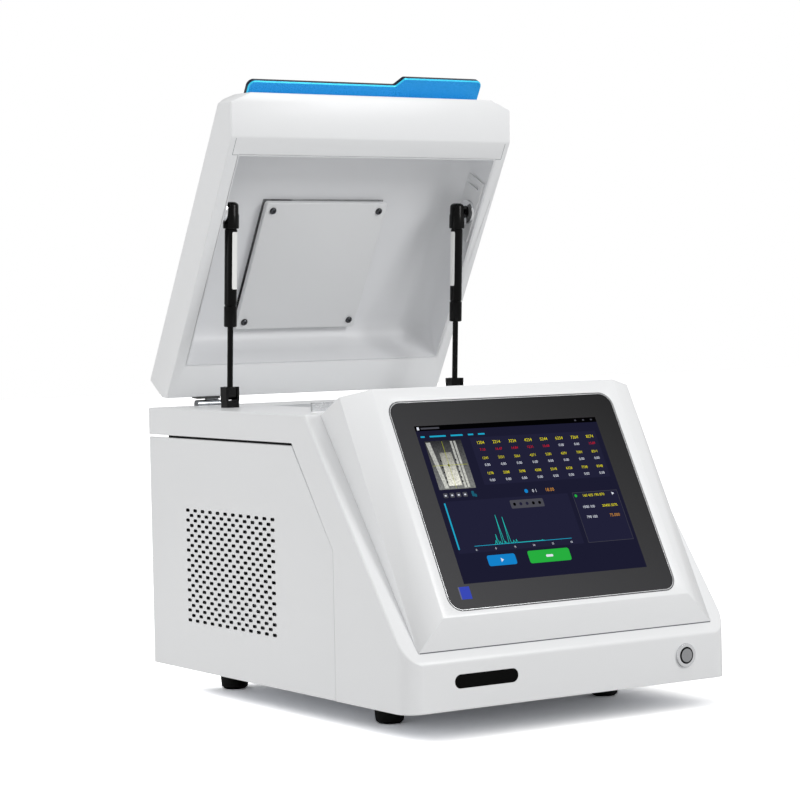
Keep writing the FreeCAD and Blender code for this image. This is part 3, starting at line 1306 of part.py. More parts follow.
def build():
    """Every piece by its node name."""
    pieces = {
        "base_shell": base_shell(),
        "left_panel": side_panel(-1),
        "right_panel": side_panel(1),
        "left_frame": side_frame(-1),
        "right_frame": side_frame(1),
        "rear_panel": rear_panel(),
        "base_plate": base_plate(),
        "rubber_feet": rubber_feet(),
        "console_bezel": console_bezel(),
        "touch_glass": touch_glass(),
        "glass_trim": glass_trim(),
        "lcd_module": lcd_module(),
        "indicator_lens": indicator_lens(),
        "indicator_board": indicator_board(),
        "button_body": button_body(),
        "button_cap": button_cap(),
        "stage_plate": stage_plate(),
        "window_ring": window_ring(),
        "shield_sill": shield_sill(),
        "interlock_switch": interlock_switch(),
        "interlock_plunger": interlock_plunger(),
        "measuring_head": measuring_head(),
        "xray_tube": xray_tube(),
        "detector": detector(),
        "camera_module": camera_module(),
        "collimator_wheel": collimator_wheel(),
        "collimator_motor": collimator_motor(),
        "hv_generator": case_box(GENERATOR_SIZE, -HALF + GENERATOR_SIDE_GAP, -GENERATOR_DEPTH),
        "power_supply": case_box(SUPPLY_SIZE, HALF - SUPPLY_SIDE_GAP - SUPPLY_SIZE[0], -SUPPLY_DEPTH),
        "main_board": main_board(),
        "cooling_fan": cooling_fan(),
        "fan_rotor": fan_rotor(),
        "power_inlet": power_inlet(),
        "rocker_frame": rocker_frame(),
        "rocker_button": rocker_button(),
        "lid_shell": lid_shell(),
        "lid_liner": lid_liner(),
        "shield_plate": shield_plate(),
        "shield_screws": shield_screws(),
        "grip_plate": grip_plate(),
    }
    for name, maker in (("hinge_pins", hinge_pin), ("deck_hinge_leaves", hinge_base_leaf),
                        ("lid_hinge_leaves", hinge_lid_leaf)):
        pieces[name] = Part.makeCompound([maker(side) for side in (-1, 1)])
    for name, maker in (("strut_brackets", strut_bracket), ("lid_brackets", lid_bracket),
                        ("strut_studs", strut_stud)):
        right = maker()
        pieces[name] = Part.makeCompound([mirrored(right), right])
    for stem, maker in (("strut_rod", strut_rod), ("strut_tube", strut_tube)):
        right = maker()
        pieces[f"right_{stem}"] = right
        pieces[f"left_{stem}"] = mirrored(right)
    return pieces


def centring_shift(pieces):
    """Move along y that puts the origin at the middle of the whole part."""
    boxes = [piece.optimalBoundingBox(False, False) for piece in pieces.values()]
    front = min(b.YMin for b in boxes)
    rear = max(b.YMax for b in boxes)
    return -(front + rear) / 2


def main():
    """Build, centre and write every piece."""
    os.makedirs("parts", exist_ok=True)
    pieces = build()
    shift = centring_shift(pieces)
    for name, shape in pieces.items():
        placed = shape.copy()
        placed.translate(Vector(0, shift, 0))
        placed.exportStep(f"parts/{name}.step")
        if not placed.isValid():
            print("not valid:", name)
    print("pieces:", len(pieces), "moved along y by:", round(shift, 3))


main()
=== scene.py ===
"""Looks of a bench-top x-ray fluorescence analyzer with its lid open.

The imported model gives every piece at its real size. This script dresses each piece in its real
finish, replaces the pieces whose look needs finer meshes, and adds the lit screen, the small screws
and the studio.
"""

import json
import logging
import math
from dataclasses import dataclass, field, replace
from enum import Enum
from typing import Any, Iterable, Sequence

import bmesh
import bpy
from mathutils import Euler, Matrix, Vector


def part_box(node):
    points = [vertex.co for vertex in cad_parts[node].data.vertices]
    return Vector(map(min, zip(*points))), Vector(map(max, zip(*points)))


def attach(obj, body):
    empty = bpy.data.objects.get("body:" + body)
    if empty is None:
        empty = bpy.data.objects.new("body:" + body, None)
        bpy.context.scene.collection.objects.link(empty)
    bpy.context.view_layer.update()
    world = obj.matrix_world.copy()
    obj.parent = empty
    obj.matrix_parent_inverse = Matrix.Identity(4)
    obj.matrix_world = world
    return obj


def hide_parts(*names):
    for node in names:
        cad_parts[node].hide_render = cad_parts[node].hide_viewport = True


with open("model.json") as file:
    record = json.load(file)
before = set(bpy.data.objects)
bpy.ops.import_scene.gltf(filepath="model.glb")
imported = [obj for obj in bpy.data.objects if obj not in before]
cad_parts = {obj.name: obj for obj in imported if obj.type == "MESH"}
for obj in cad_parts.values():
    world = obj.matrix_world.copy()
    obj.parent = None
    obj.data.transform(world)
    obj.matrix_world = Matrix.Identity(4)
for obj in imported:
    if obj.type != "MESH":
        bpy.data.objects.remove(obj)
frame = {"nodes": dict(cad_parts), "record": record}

LOG = logging.getLogger("analyzer")
MM = 0.001
SAME_PLACE = 1e-6  # metres: corners this near are one
ROUND_ANGLE = 30.0  # degrees: edges flatter than this look smooth on small round pieces
Point = tuple[float, float]
Triple = tuple[float, float, float]
Area = tuple[float, float, float, float]
Tree = bpy.types.NodeTree
Node = bpy.types.Node
Socket = bpy.types.NodeSocket
Piece = bpy.types.Object
BMesh = bmesh.types.BMesh
Corner = bmesh.types.BMVert


# Small shared tools


def linear(code: str) -> tuple[float, float, float, float]:
    """Turn an sRGB hex code into a linear colour.

    Args:
        code: Six hex digits, with or without a leading hash sign.

    Returns:
        Linear red, green, blue and an alpha of one.
    """
    digits = code.lstrip("#")
    shares = [int(digits[i : i + 2], 16) / 255 for i in (0, 2, 4)]
    curve = [c / 12.92 if c <= 0.04045 else ((c + 0.055) / 1.055) ** 2.4 for c in shares]
    return curve[0], curve[1], curve[2], 1.0


def add_node(tree: Tree, kind: str, inputs: dict[Any, Any] | None = None, **settings: Any) -> Node:
    """Add a node, set it up and link what comes into it.

    Args:
        tree: The node tree that gets the node.
        kind: The node's type.
        inputs: A value, or the socket to link, for each input's name or number.
        **settings: Properties of the node itself.

    Returns:
        The new node.
    """
    node = tree.nodes.new(kind)
    for name, value in settings.items():
        setattr(node, name, value)
    for key, value in (inputs or {}).items():
        if isinstance(value, Socket):
            tree.links.new(value, node.inputs[key])
        else:
            node.inputs[key].default_value = value
    return node


def mix_colours(tree: Tree, share: Any, first: Any, second: Any, blend: str = "MIX") -> Socket:
    """Give a mix of two colours. Share and colours are values or sockets."""
    inputs = {"Factor": share, 6: first, 7: second}
    return add_node(tree, "ShaderNodeMix", inputs, data_type="RGBA", blend_type=blend).outputs[2]


def vector_math(tree: Tree, operation: str, first: Any, second: Any = (0, 0, 0), output: Any = 0) -> Socket:
    """Give what a vector operation makes of two values or sockets."""
    node = add_node(tree, "ShaderNodeVectorMath", {0: first, 1: second}, operation=operation)
    return node.outputs[output]


def number_math(tree: Tree, operation: str, first: Any, second: Any = 0.0) -> Socket:
    """Give what an operation makes of two numbers or sockets."""
    return add_node(tree, "ShaderNodeMath", {0: first, 1: second}, operation=operation).outputs[0]


def ranged(
    tree: Tree, value: Socket, start: float = 0.0, end: float = 1.0, low: float = 0.0, high: float = 1.0
) -> Socket:
    """Give a value that runs from low to high, and no farther, while another runs from start to end."""
    inputs = {"Value": value, 1: start, 2: end, 3: low, 4: high}
    return add_node(tree, "ShaderNodeMapRange", inputs).outputs[0]


def in_mesh(name: str, bm: BMesh, smooth_angle: float = 0.0) -> Piece:
    """Turn a bmesh into an object at the origin.

    Args:
        name: The piece's name.
        bm: Its shape in metres, in the part's own frame. It is freed.
        smooth_angle: Edges flatter than this many degrees are shaded smooth.

    Returns:
        The new object.
    """
    mesh = bpy.data.meshes.new(name)
    bm.to_mesh(mesh)
    bm.free()
    made = bpy.data.objects.new(name, mesh)
    bpy.context.scene.collection.objects.link(made)
    if smooth_angle:
        mesh.shade_smooth()
        mesh.set_sharp_from_angle(angle=math.radians(smooth_angle))
    return made


def evaluated_mesh(source: Piece) -> bpy.types.Mesh:
    """Give the plain mesh that an object's modifiers make."""
    graph = bpy.context.evaluated_depsgraph_get()
    return bpy.data.meshes.new_from_object(source.evaluated_get(graph), depsgraph=graph)


def drop(*objects: Piece) -> None:
    """Remove helper objects."""
    for helper in objects:
        bpy.data.objects.remove(helper)


def merged_copy(node: str) -> BMesh:
    """Give a node's shape with its doubled corners merged and its flat faces whole.

    Args:
        node: The node's name.

    Returns:
        A new bmesh of that shape.
    """
    bm = bmesh.new()
    bm.from_mesh(frame["nodes"][node].data)
    flat_angle = math.radians(0.5)
    bmesh.ops.remove_doubles(bm, verts=bm.verts, dist=SAME_PLACE)
    bmesh.ops.dissolve_limit(bm, angle_limit=flat_angle, verts=bm.verts, edges=bm.edges)
    return bm


def flat_faces(name: str, outlines: Iterable[Iterable[Vector]]) -> Piece:
    """Make an object of separate flat faces.

    Args:
        name: The piece's name.
        outlines: Each face's corners in order, in metres.

    Returns:
        The new object.
    """
    bm = bmesh.new()
    for outline in outlines:
        bm.faces.new([bm.verts.new(corner) for corner in outline])
    return in_mesh(name, bm)


def bridge(bm: BMesh, near: Sequence[Corner], far: Sequence[Corner]) -> list[bmesh.types.BMFace]:
    """Join two closed rings of corners by faces, and give those faces."""
    made = []
    for k in range(len(near)):
        j = (k + 1) % len(near)
        made.append(bm.faces.new((near[k], near[j], far[j], far[k])))
    return made


def fill_rings(bm: BMesh, *rings: Sequence[Corner]) -> None:
    """Fill the flat space between closed rings of corners."""
    edges = [bm.edges.new((ring[k], ring[(k + 1) % len(ring)])) for ring in rings for k in range(len(ring))]
    bmesh.ops.triangle_fill(bm, use_beauty=True, use_dissolve=False, edges=edges)


def square_outline(area: Area) -> list[Point]:
    """Give the corners of an area in order, from its lower left one on."""
    left, low, right, high = area
    return [(left, low), (right, low), (right, high), (left, high)]


def rounded_outline(area: Area, radius: float, steps: int) -> list[Point]:
    """Give the outline of an area with round corners.

    Args:
        area: Its left, low, right and high side.
        radius: Radius of the corners.
        steps: How many straight steps each corner has.

    Returns:
        The points in order, from the lower right corner on.
    """
    left, low, right, high = (area[0] + radius, area[1] + radius, area[2] - radius, area[3] - radius)
    points = []
    for x, y, start in ((right, low, -90), (right, high, 0), (left, high, 90), (left, low, 180)):
        for k in range(steps + 1):
            angle = math.radians(start + 90 * k / steps)
            points.append((x + radius * math.cos(angle), y + radius * math.sin(angle)))
    return points


def strokes(path: Sequence[Point], width: float) -> list[list[Point]]:
    """Give the four corners of each straight stroke along a path."""
    made = []
    for (xa, ya), (xb, yb) in zip(path, path[1:]):
        run = math.hypot(xb - xa, yb - ya)
        nx, ny = -(yb - ya) / run * width / 2, (xb - xa) / run * width / 2
        made.append([(xa - nx, ya - ny), (xb - nx, yb - ny), (xb + nx, yb + ny), (xa + nx, ya + ny)])
    return made


@dataclass(frozen=True)
class TiltedFrame:
    """A frame turned about the x axis. Lengths inside it are millimetres."""

    origin: Vector
    tilt: float

    def turn(self) -> Matrix:
        """Give the frame's rotation."""
        return Matrix.Rotation(math.radians(self.tilt), 3, "X")

    def out(self, x: float, along: float, proud: float) -> Vector:
        """Give the place in metres of a point in this frame.

        Args:
            x: Millimetres to the right.
            along: Millimetres along the turned y axis.
            proud: Millimetres along the turned z axis.

        Returns:
            The point in the part's frame, in metres.
        """
        return self.origin + self.turn() @ Vector((x, along, proud)) * MM

    def span(self, node: str) -> tuple[Vector, Vector]:
        """Measure a node in this frame.

        Args:
            node: The node's name.

        Returns:
            Its lowest and highest corner in this frame, in millimetres.
        """
        back = self.turn().transposed()
        places = [back @ (v.co - self.origin) / MM for v in frame["nodes"][node].data.vertices]
        low = Vector([min(p[i] for p in places) for i in range(3)])
        high = Vector([max(p[i] for p in places) for i in range(3)])
        return low, high


# Finishes


class Slot(Enum):
    """The record's material slots."""

    WHITE = "white_paint"
    GREY = "grey_paint"
    BLACK_SHEET = "black_sheet"
    ZINC = "zinc_sheet"
    RUBBER = "black_rubber"
    GLASS = "screen_glass"
    TRIM = "bright_trim"
    SMOKED = "smoked_plastic"
    BOARD = "green_board"
    STEEL = "steel"
    ALUMINIUM = "aluminium"
    BLACK_PLASTIC = "black_plastic"
    WHITE_PLASTIC = "white_plastic"
    BRASS = "brass"
    BLACK_GLOSS = "black_gloss"
    BLUE = "blue_anodised"
    CHROME = "chrome"


@dataclass(frozen=True)
class Finish:
    """What every finish has: a name, a colour, and how rough and how metallic it is."""

    name: str
    colour: str
    roughness: float = 0.5
    metallic: float = 0.0

    def build(self) -> bpy.types.Material:
        """Make the material once and give it again afterwards."""
        known = bpy.data.materials.get(self.name)
        if known:
            return known
        material = bpy.data.materials.new(self.name)
        material.use_nodes = True
        tree = material.node_tree
        tree.nodes.clear()
        shader = add_node(
            tree,
            "ShaderNodeBsdfPrincipled",
            {"Base Color": linear(self.colour), "Roughness": self.roughness, "Metallic": self.metallic},
        )
        add_node(tree, "ShaderNodeOutputMaterial", {"Surface": shader.outputs["BSDF"]})
        place = add_node(tree, "ShaderNodeTexCoord").outputs["Object"]
        self.detail(tree, shader, place)
        return material

    def detail(self, tree: Tree, shader: Node, place: Socket) -> None:
        """Add what is special to the finish.

        Args:
            tree: The material's node tree.
            shader: Its shader.
            place: Object coordinates in metres.
        """

    def grain(self, tree: Tree, place: Socket, size_mm: float, stretch: Triple = (1.0, 1.0, 1.0)) -> Socket:
        """Give a noise of a real grain size.

        Args:
            tree: The material's node tree.
            place: Object coordinates in metres.
            size_mm: Width of one grain.
            stretch: How much longer the grain is along each axis.

        Returns:
            The noise's value socket.
        """
        scale = [1 / (size_mm * MM * s) for s in stretch]
        scaled = add_node(tree, "ShaderNodeMapping", {"Vector": place, "Scale": scale}).outputs[0]
        inputs = {"Vector": scaled, "Scale": 1.0, "Detail": 2.0}
        return add_node(tree, "ShaderNodeTexNoise", inputs).outputs["Fac"]

    def vary_gloss(self, tree: Tree, shader: Node, noise: Socket, change: float, least: float) -> None:
        """Let the roughness follow a noise.

        Args:
            tree: The material's node tree.
            shader: Its shader.
            noise: The noise, from 0 to 1.
            change: How far the roughness goes up and down.
            least: The lowest roughness there is.
        """
        low = max(self.roughness - change, least)
        rough = ranged(tree, noise, low=low, high=self.roughness + change)
        tree.links.new(rough, shader.inputs["Roughness"])

    def bump(self, tree: Tree, shader: Node, height: Socket, depth_mm: float, round_mm: float) -> None:
        """Raise the surface by a height, and soften its edges.

        Args:
            tree: The material's node tree.
            shader: Its shader.
            height: The height, from 0 to 1.
            depth_mm: Millimetres from its lowest to its highest.
            round_mm: Radius that the edges seem to have.
        """
        soft = add_node(tree, "ShaderNodeBevel", {"Radius": round_mm * MM}, samples=4).outputs[0]
        inputs = {"Height": height, "Distance": depth_mm * MM, "Strength": 1.0, "Normal": soft}
        raised = add_node(tree, "ShaderNodeBump", inputs)
        tree.links.new(raised.outputs[0], shader.inputs["Normal"])


@dataclass(frozen=True)
class PowderCoat(Finish):
    """Baked powder paint on sheet steel: a satin skin whose faint orange peel softens its reflections."""

    peel_mm: float = 2.4
    peel_depth_mm: float = 0.006
    patch_mm: float = 60.0
    gloss_change: float = 0.05
    edge_mm: float = 0.9
    clear_coat: float = 0.25
    coat_roughness: float = 0.22
    shine: float = 0.5

    def detail(self, tree: Tree, shader: Node, place: Socket) -> None:
        """Add the orange peel, slow changes of gloss and soft edges."""
        self.vary_gloss(tree, shader, self.grain(tree, place, self.patch_mm), self.gloss_change, 0.0)
        shader.inputs["Coat Weight"].default_value = self.clear_coat
        shader.inputs["Coat Roughness"].default_value = self.coat_roughness
        shader.inputs["Specular IOR Level"].default_value = self.shine
        self.bump(tree, shader, self.grain(tree, place, self.peel_mm), self.peel_depth_mm, self.edge_mm)


@dataclass(frozen=True)
class MouldedPlastic(Finish):
    """Injection-moulded plastic or rubber: a fine spark-eroded grain breaks up its gloss."""

    grain_mm: float = 0.8
    depth_mm: float = 0.01
    gloss_change: float = 0.07
    least_rough: float = 0.02
    edge_mm: float = 0.4
    shine: float = 0.5

    def detail(self, tree: Tree, shader: Node, place: Socket) -> None:
        """Add the mould's grain and soft edges."""
        shader.inputs["Specular IOR Level"].default_value = self.shine
        fine = self.grain(tree, place, self.grain_mm)
        self.vary_gloss(tree, shader, fine, self.gloss_change, self.least_rough)
        self.bump(tree, shader, fine, self.depth_mm, self.edge_mm)


@dataclass(frozen=True)
class Metal(Finish):
    """Bare or plated metal. Its grain runs one way if it was brushed, and else is even."""

    metallic: float = 1.0
    grain_mm: float = 0.5
    run: Triple = (1.0, 1.0, 1.0)
    depth_mm: float = 0.004
    gloss_change: float = 0.08
    least_rough: float = 0.03
    edge_mm: float = 0.3

    def detail(self, tree: Tree, shader: Node, place: Socket) -> None:
        """Add the grain to gloss and height."""
        fine = self.grain(tree, place, self.grain_mm, self.run)
        self.vary_gloss(tree, shader, fine, self.gloss_change, self.least_rough)
        self.bump(tree, shader, fine, self.depth_mm, self.edge_mm)


@dataclass(frozen=True)
class RingedMetal(Metal):
    """Metal round an axis along x or y, with another colour farther out on the same piece.

    Its glancing faces are painted darker: a painted reflection of the dark cards of a product studio.
    """

    outer_colour: str = "#0c0c0d"
    outer_metallic: float = 0.0
    centre: Triple = (0.0, 0.0, 0.0)
    across: Triple = (0.0, 1.0, 1.0)
    radius_mm: float = 4.6
    painted_reflection_colour: str = "#08080a"
    painted_reflection_blend: float = 0.35
    painted_reflection_start: float = 0.25
    painted_reflection_end: float = 0.8
    painted_reflection_depth: float = 0.85

    def detail(self, tree: Tree, shader: Node, place: Socket) -> None:
        """Change colour and metal at the radius, and paint a darker reflection on the glancing faces."""
        Metal.detail(self, tree, shader, place)
        aside = vector_math(tree, "SUBTRACT", place, self.centre)
        flat = vector_math(tree, "MULTIPLY", aside, self.across)
        away = vector_math(tree, "LENGTH", flat, output="Value")
        outside = number_math(tree, "GREATER_THAN", away, self.radius_mm * MM)
        colour = mix_colours(tree, outside, linear(self.colour), linear(self.outer_colour))
        # Painted reflection: glancing faces are mixed toward the dark card colour.
        glancing = add_node(tree, "ShaderNodeLayerWeight", {"Blend": self.painted_reflection_blend}).outputs["Facing"]
        edge = ranged(tree, glancing, self.painted_reflection_start, self.painted_reflection_end, 0.0, self.painted_reflection_depth)
        darker = mix_colours(tree, edge, colour, linear(self.painted_reflection_colour))
        tree.links.new(darker, shader.inputs["Base Color"])
        metal = ranged(tree, outside, low=self.metallic, high=self.outer_metallic)
        tree.links.new(metal, shader.inputs["Metallic"])


@dataclass(frozen=True)
class AnodisedPlateWithPaintedLight(Metal):
    """Anodised plate: azure on its broad faces, with a painted highlight on its cut bevel and painted deep
    navy shade on its edge.
    """

    bevel_highlight_colour: str = "#35d6ff"
    edge_shade_colour: str = "#041430"
    facing: Triple = (0.0, -0.8746, -0.4848)
    bevel_from: float = 0.4
    face_from: float = 0.93

    def detail(self, tree: Tree, shader: Node, place: Socket) -> None:
        """Pick the colour by which way each face looks: azure, painted bevel highlight or painted edge
        shade.
        """
        Metal.detail(self, tree, shader, place)
        normal = add_node(tree, "ShaderNodeNewGeometry").outputs["True Normal"]
        spaces = {"vector_type": "NORMAL", "convert_from": "WORLD", "convert_to": "OBJECT"}
        own = add_node(tree, "ShaderNodeVectorTransform", {0: normal}, **spaces).outputs[0]
        share = vector_math(tree, "DOT_PRODUCT", own, self.facing, "Value")
        # Painted light: faces across the plate get the painted navy shade, and the bevels the painted cyan
        # highlight.
        ramp = add_node(tree, "ShaderNodeValToRGB", {0: number_math(tree, "ABSOLUTE", share)})
        ramp.color_ramp.interpolation = "CONSTANT"
        stops = ramp.color_ramp.elements
        stops[0].position, stops[0].color = 0.0, linear(self.edge_shade_colour)
        stops[1].position, stops[1].color = self.face_from, linear(self.colour)
        stops.new(self.bevel_from).color = linear(self.bevel_highlight_colour)
        tree.links.new(ramp.outputs[0], shader.inputs["Base Color"])


@dataclass(frozen=True)
class InkedGlass(Finish):
    """Float glass printed with black ink on its back, under a clear polished face, with a painted
    reflection of the room on it.
    """

    room_reflection_colour: str = "#48484a"
    corner: Triple = (0.0, 0.0, 0.0)
    slope: Triple = (1.8, 0.0, 2.6)
    shine: float = 0.2

    def detail(self, tree: Tree, shader: Node, place: Socket) -> None:
        """Paint a lighter reflection of the room on the black toward the lower left corner, where the room
        shines on it.
        """
        away = vector_math(tree, "SUBTRACT", place, self.corner)
        share = ranged(tree, vector_math(tree, "DOT_PRODUCT", away, self.slope, "Value"))
        # Painted reflection: the black lightens toward the reflection colour in the lower left.
        mixed = mix_colours(tree, share, linear(self.room_reflection_colour), linear(self.colour))
        tree.links.new(mixed, shader.inputs["Base Color"])
        shader.inputs["Specular IOR Level"].default_value = self.shine


@dataclass(frozen=True)
class LitPixels(Finish):
    """Part of a liquid-crystal picture: it shines in its own colour and mirrors nothing."""

    strength: float = 1.0

    def detail(self, tree: Tree, shader: Node, place: Socket) -> None:
        """Make the colour shine."""
        shader.inputs["Base Color"].default_value = linear("#000000")
        shader.inputs["Specular IOR Level"].default_value = 0.0
        shader.inputs["Emission Color"].default_value = linear(self.colour)
        shader.inputs["Emission Strength"].default_value = self.strength


@dataclass(frozen=True)
class CameraPicture(LitPixels):
    """Part of the sample camera's live picture, grainy and fading towards its top."""

    top_colour: str = "#202124"
    low_z: float = 0.0
    high_z: float = 1.0
    grain_size: float = 1.6
    grain_low: float = 0.3
    grain_high: float = 1.7

    def detail(self, tree: Tree, shader: Node, place: Socket) -> None:
        """Fade the colour from the foot to the top and break it up."""
        LitPixels.detail(self, tree, shader, place)
        height = add_node(tree, "ShaderNodeSeparateXYZ", {0: place}).outputs["Z"]
        share = ranged(tree, height, self.low_z, self.high_z)
        faded = mix_colours(tree, share, linear(self.colour), linear(self.top_colour))
        noise = self.grain(tree, place, self.grain_size)
        cloud = ranged(tree, noise, low=self.grain_low, high=self.grain_high)
        toned = mix_colours(tree, 1.0, faded, cloud, "MULTIPLY")
        tree.links.new(toned, shader.inputs["Emission Color"])


WHITE_COAT = PowderCoat("white powder coat", "#eeeff0", 0.36)
LINER_COAT = PowderCoat("white liner powder coat", "#e5e6e8", 0.45)
GREY_COAT = PowderCoat("pale grey powder coat", "#e0e1e2", 0.48)
BLACK_COAT = PowderCoat("black powder coat", "#050506", 0.6, clear_coat=0.0, shine=0.12)
ZINC_SHEET = Metal("zinc-plated sheet", "#b9bcc2", 0.38, grain_mm=6.0)
RUBBER = MouldedPlastic("black rubber", "#080808", 0.62, grain_mm=1.2, depth_mm=0.03, shine=0.2)
BLACK_ABS = MouldedPlastic("black moulded plastic", "#111113", 0.5)
WHITE_ABS = MouldedPlastic("white moulded plastic", "#e6e6e4", 0.45)
GLOSS_LACQUER = MouldedPlastic("black lacquer", "#030303", 0.22, depth_mm=0.002, shine=0.16)
SMOKED_WINDOW = MouldedPlastic("smoked acrylic", "#020202", 0.12, depth_mm=0.0005, shine=0.08)
BRIGHT_TRIM = Metal("polished trim", "#f2f3f5", 0.2, metallic=0.7, edge_mm=0.2)
CHROME = Metal("chrome plate", "#dfe0e2", 0.14)
BRUSHED_STEEL = Metal("brushed stainless steel", "#c3c4c6", 0.28, grain_mm=0.4, run=(12.0, 1.0, 1.0))
CAST_ALUMINIUM = Metal("machined aluminium", "#c8cacd", 0.34, grain_mm=0.5, run=(10.0, 1.0, 1.0))
BRASS = Metal("turned brass", "#b99a55", 0.3)
BLUE_ANODISED = AnodisedPlateWithPaintedLight("azure anodised aluminium", "#0c9be6", 0.28, metallic=0.25, grain_mm=0.6)
SCREW_STEEL = Metal("dark screw steel", "#4a4b4e", 0.2, edge_mm=0.15)
SEAM_SHADE = Finish("shaded seam", "#8b8d90", 0.7)
FOOT_SHADE = Finish("shaded console foot", "#62656b", 0.8)
SLOT_SHADE = Finish("dark slot", "#17181a", 0.8)
SOLDER_MASK = MouldedPlastic("green solder mask", "#12512b", 0.35)

SLOT_FINISH: dict[Slot, Finish] = {
    Slot.WHITE: WHITE_COAT,
    Slot.GREY: GREY_COAT,
    Slot.BLACK_SHEET: BLACK_COAT,
    Slot.ZINC: ZINC_SHEET,
    Slot.RUBBER: RUBBER,
    Slot.GLASS: SMOKED_WINDOW,
    Slot.TRIM: BRIGHT_TRIM,
    Slot.SMOKED: SMOKED_WINDOW,
    Slot.BOARD: SOLDER_MASK,
    Slot.STEEL: BRUSHED_STEEL,
    Slot.ALUMINIUM: CAST_ALUMINIUM,
    Slot.BLACK_PLASTIC: BLACK_ABS,
    Slot.WHITE_PLASTIC: WHITE_ABS,
    Slot.BRASS: BRASS,
    Slot.BLACK_GLOSS: GLOSS_LACQUER,
    Slot.BLUE: BLUE_ANODISED,
    Slot.CHROME: CHROME,
}


def dress(made: Piece, finish: Finish) -> Piece:
    """Give an object one finish in place of what it has."""
    made.data.materials.clear()
    made.data.materials.append(finish.build())
    return made


def settle(made: Piece, body: str, replaced: Iterable[str] = ()) -> Piece:
    """Put a finished piece on its body.

    Args:
        made: The piece.
        body: The body that carries it.
        replaced: Nodes that it stands for.

    Returns:
        The piece.
    """
    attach(made, body)
    for node in replaced:
        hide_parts(node)
    LOG.info("%s rides on %s, %d faces", made.name, body, len(made.data.polygons))
    return made


# Repeats by geometry nodes


@dataclass
class Repeater:
    """A node tree that puts one shape on every point of a mesh and ends in one finish."""

    name: str
    finish: Finish

    def tree(self) -> tuple[Tree, dict[str, str]]:
        """Build the tree.

        Returns:
            The tree, and the identifier of each of its named inputs.
        """
        tree = bpy.data.node_groups.new(self.name, "GeometryNodeTree")
        sockets = {
            "Places": "NodeSocketGeometry",
            "Shape": "NodeSocketObject",
            "Turn": "NodeSocketVector",
            "Finish": "NodeSocketMaterial",
        }
        known = {}
        for label, kind in sockets.items():
            known[label] = tree.interface.new_socket(label, in_out="INPUT", socket_type=kind).identifier
        tree.interface.new_socket("Geometry", in_out="OUTPUT", socket_type="NodeSocketGeometry")
        given = add_node(tree, "NodeGroupInput").outputs
        shape = add_node(tree, "GeometryNodeObjectInfo", {"Object": given["Shape"]})
        turn = add_node(tree, "FunctionNodeEulerToRotation", {0: given["Turn"]})
        copies = {"Points": given["Places"], "Instance": shape.outputs["Geometry"]}
        copies["Rotation"] = turn.outputs[0]
        placed = add_node(tree, "GeometryNodeInstanceOnPoints", copies)
        real = add_node(tree, "GeometryNodeRealizeInstances", {"Geometry": placed.outputs[0]})
        joined = {"Geometry": real.outputs[0], "Distance": SAME_PLACE}
        welded = add_node(tree, "GeometryNodeMergeByDistance", joined)
        coat = {"Geometry": welded.outputs[0], "Material": given["Finish"]}
        coated = add_node(tree, "GeometryNodeSetMaterial", coat)
        add_node(tree, "NodeGroupOutput", {0: coated.outputs[0]})
        return tree, known

    def repeat(
        self, shape: Piece, places: Sequence[Vector], turn: Euler = Euler((0, 0, 0))
    ) -> bpy.types.Mesh:
        """Make the plain mesh of a shape repeated at places.

        Args:
            shape: The shape, made at the origin. It is removed afterwards.
            places: Where its copies go, in metres.
            turn: How each copy is turned.

        Returns:
            One mesh of all the copies.
        """
        dots = bpy.data.meshes.new(self.name + " places")
        dots.from_pydata([tuple(p) for p in places], [], [])
        carrier = bpy.data.objects.new(self.name + " places", dots)
        bpy.context.scene.collection.objects.link(carrier)
        tree, known = self.tree()
        modifier = carrier.modifiers.new(self.name, "NODES")
        modifier.node_group = tree
        modifier[known["Shape"]] = shape
        modifier[known["Turn"]] = tuple(turn)
        modifier[known["Finish"]] = self.finish.build()
        bpy.context.view_layer.update()
        made = evaluated_mesh(carrier)
        made.name = self.name
        drop(carrier, shape)
        return made


@dataclass
class PanHead:
    """A pan-head machine screw's head with a cross recess.

    The outline gives shares of the radius and of the height, from the foot up.
    """

    outline: tuple[Point, ...] = ((1.0, 0.0), (1.0, 0.45), (0.86, 0.8), (0.62, 1.0))
    radius: float = 3.6
    height: float = 2.2
    cross: float = 2.3
    slit: float = 0.7
    depth: float = 1.0
    sides: int = 24

    def shape(self) -> Piece:
        """Make the head at the origin, standing along z."""
        bm = bmesh.new()
        loops = []
        for across, up in self.outline:
            loop = []
            for k in range(self.sides):
                angle = 2 * math.pi * k / self.sides
                reach = Vector((math.cos(angle), math.sin(angle), 0)) * self.radius * across
                loop.append(bm.verts.new((reach + Vector((0, 0, self.height * up))) * MM))
            loops.append(loop)
        for low, high in zip(loops, loops[1:]):
            bridge(bm, low, high)
        bm.faces.new(loops[-1])
        bm.faces.new(list(reversed(loops[0])))
        head = in_mesh("pan head", bm, ROUND_ANGLE)
        arms = [self.arm(self.cross, self.slit), self.arm(self.slit, self.cross)]
        for arm in arms:
            cut = head.modifiers.new("cross recess", "BOOLEAN")
            cut.object = arm
            cut.operation = "DIFFERENCE"
        bpy.context.view_layer.update()
        head.data = evaluated_mesh(head)
        head.modifiers.clear()
        drop(*arms)
        return head

    def arm(self, width: float, length: float) -> Piece:
        """Make one bar of the cross recess."""
        bm = bmesh.new()
        bmesh.ops.create_cube(bm, size=1.0)
        size = Vector((width, length, 2 * self.depth))
        for corner in bm.verts:
            corner.co = (corner.co * size + Vector((0, 0, self.height))) * MM
        return in_mesh("recess arm", bm)


# The object's sub-assemblies


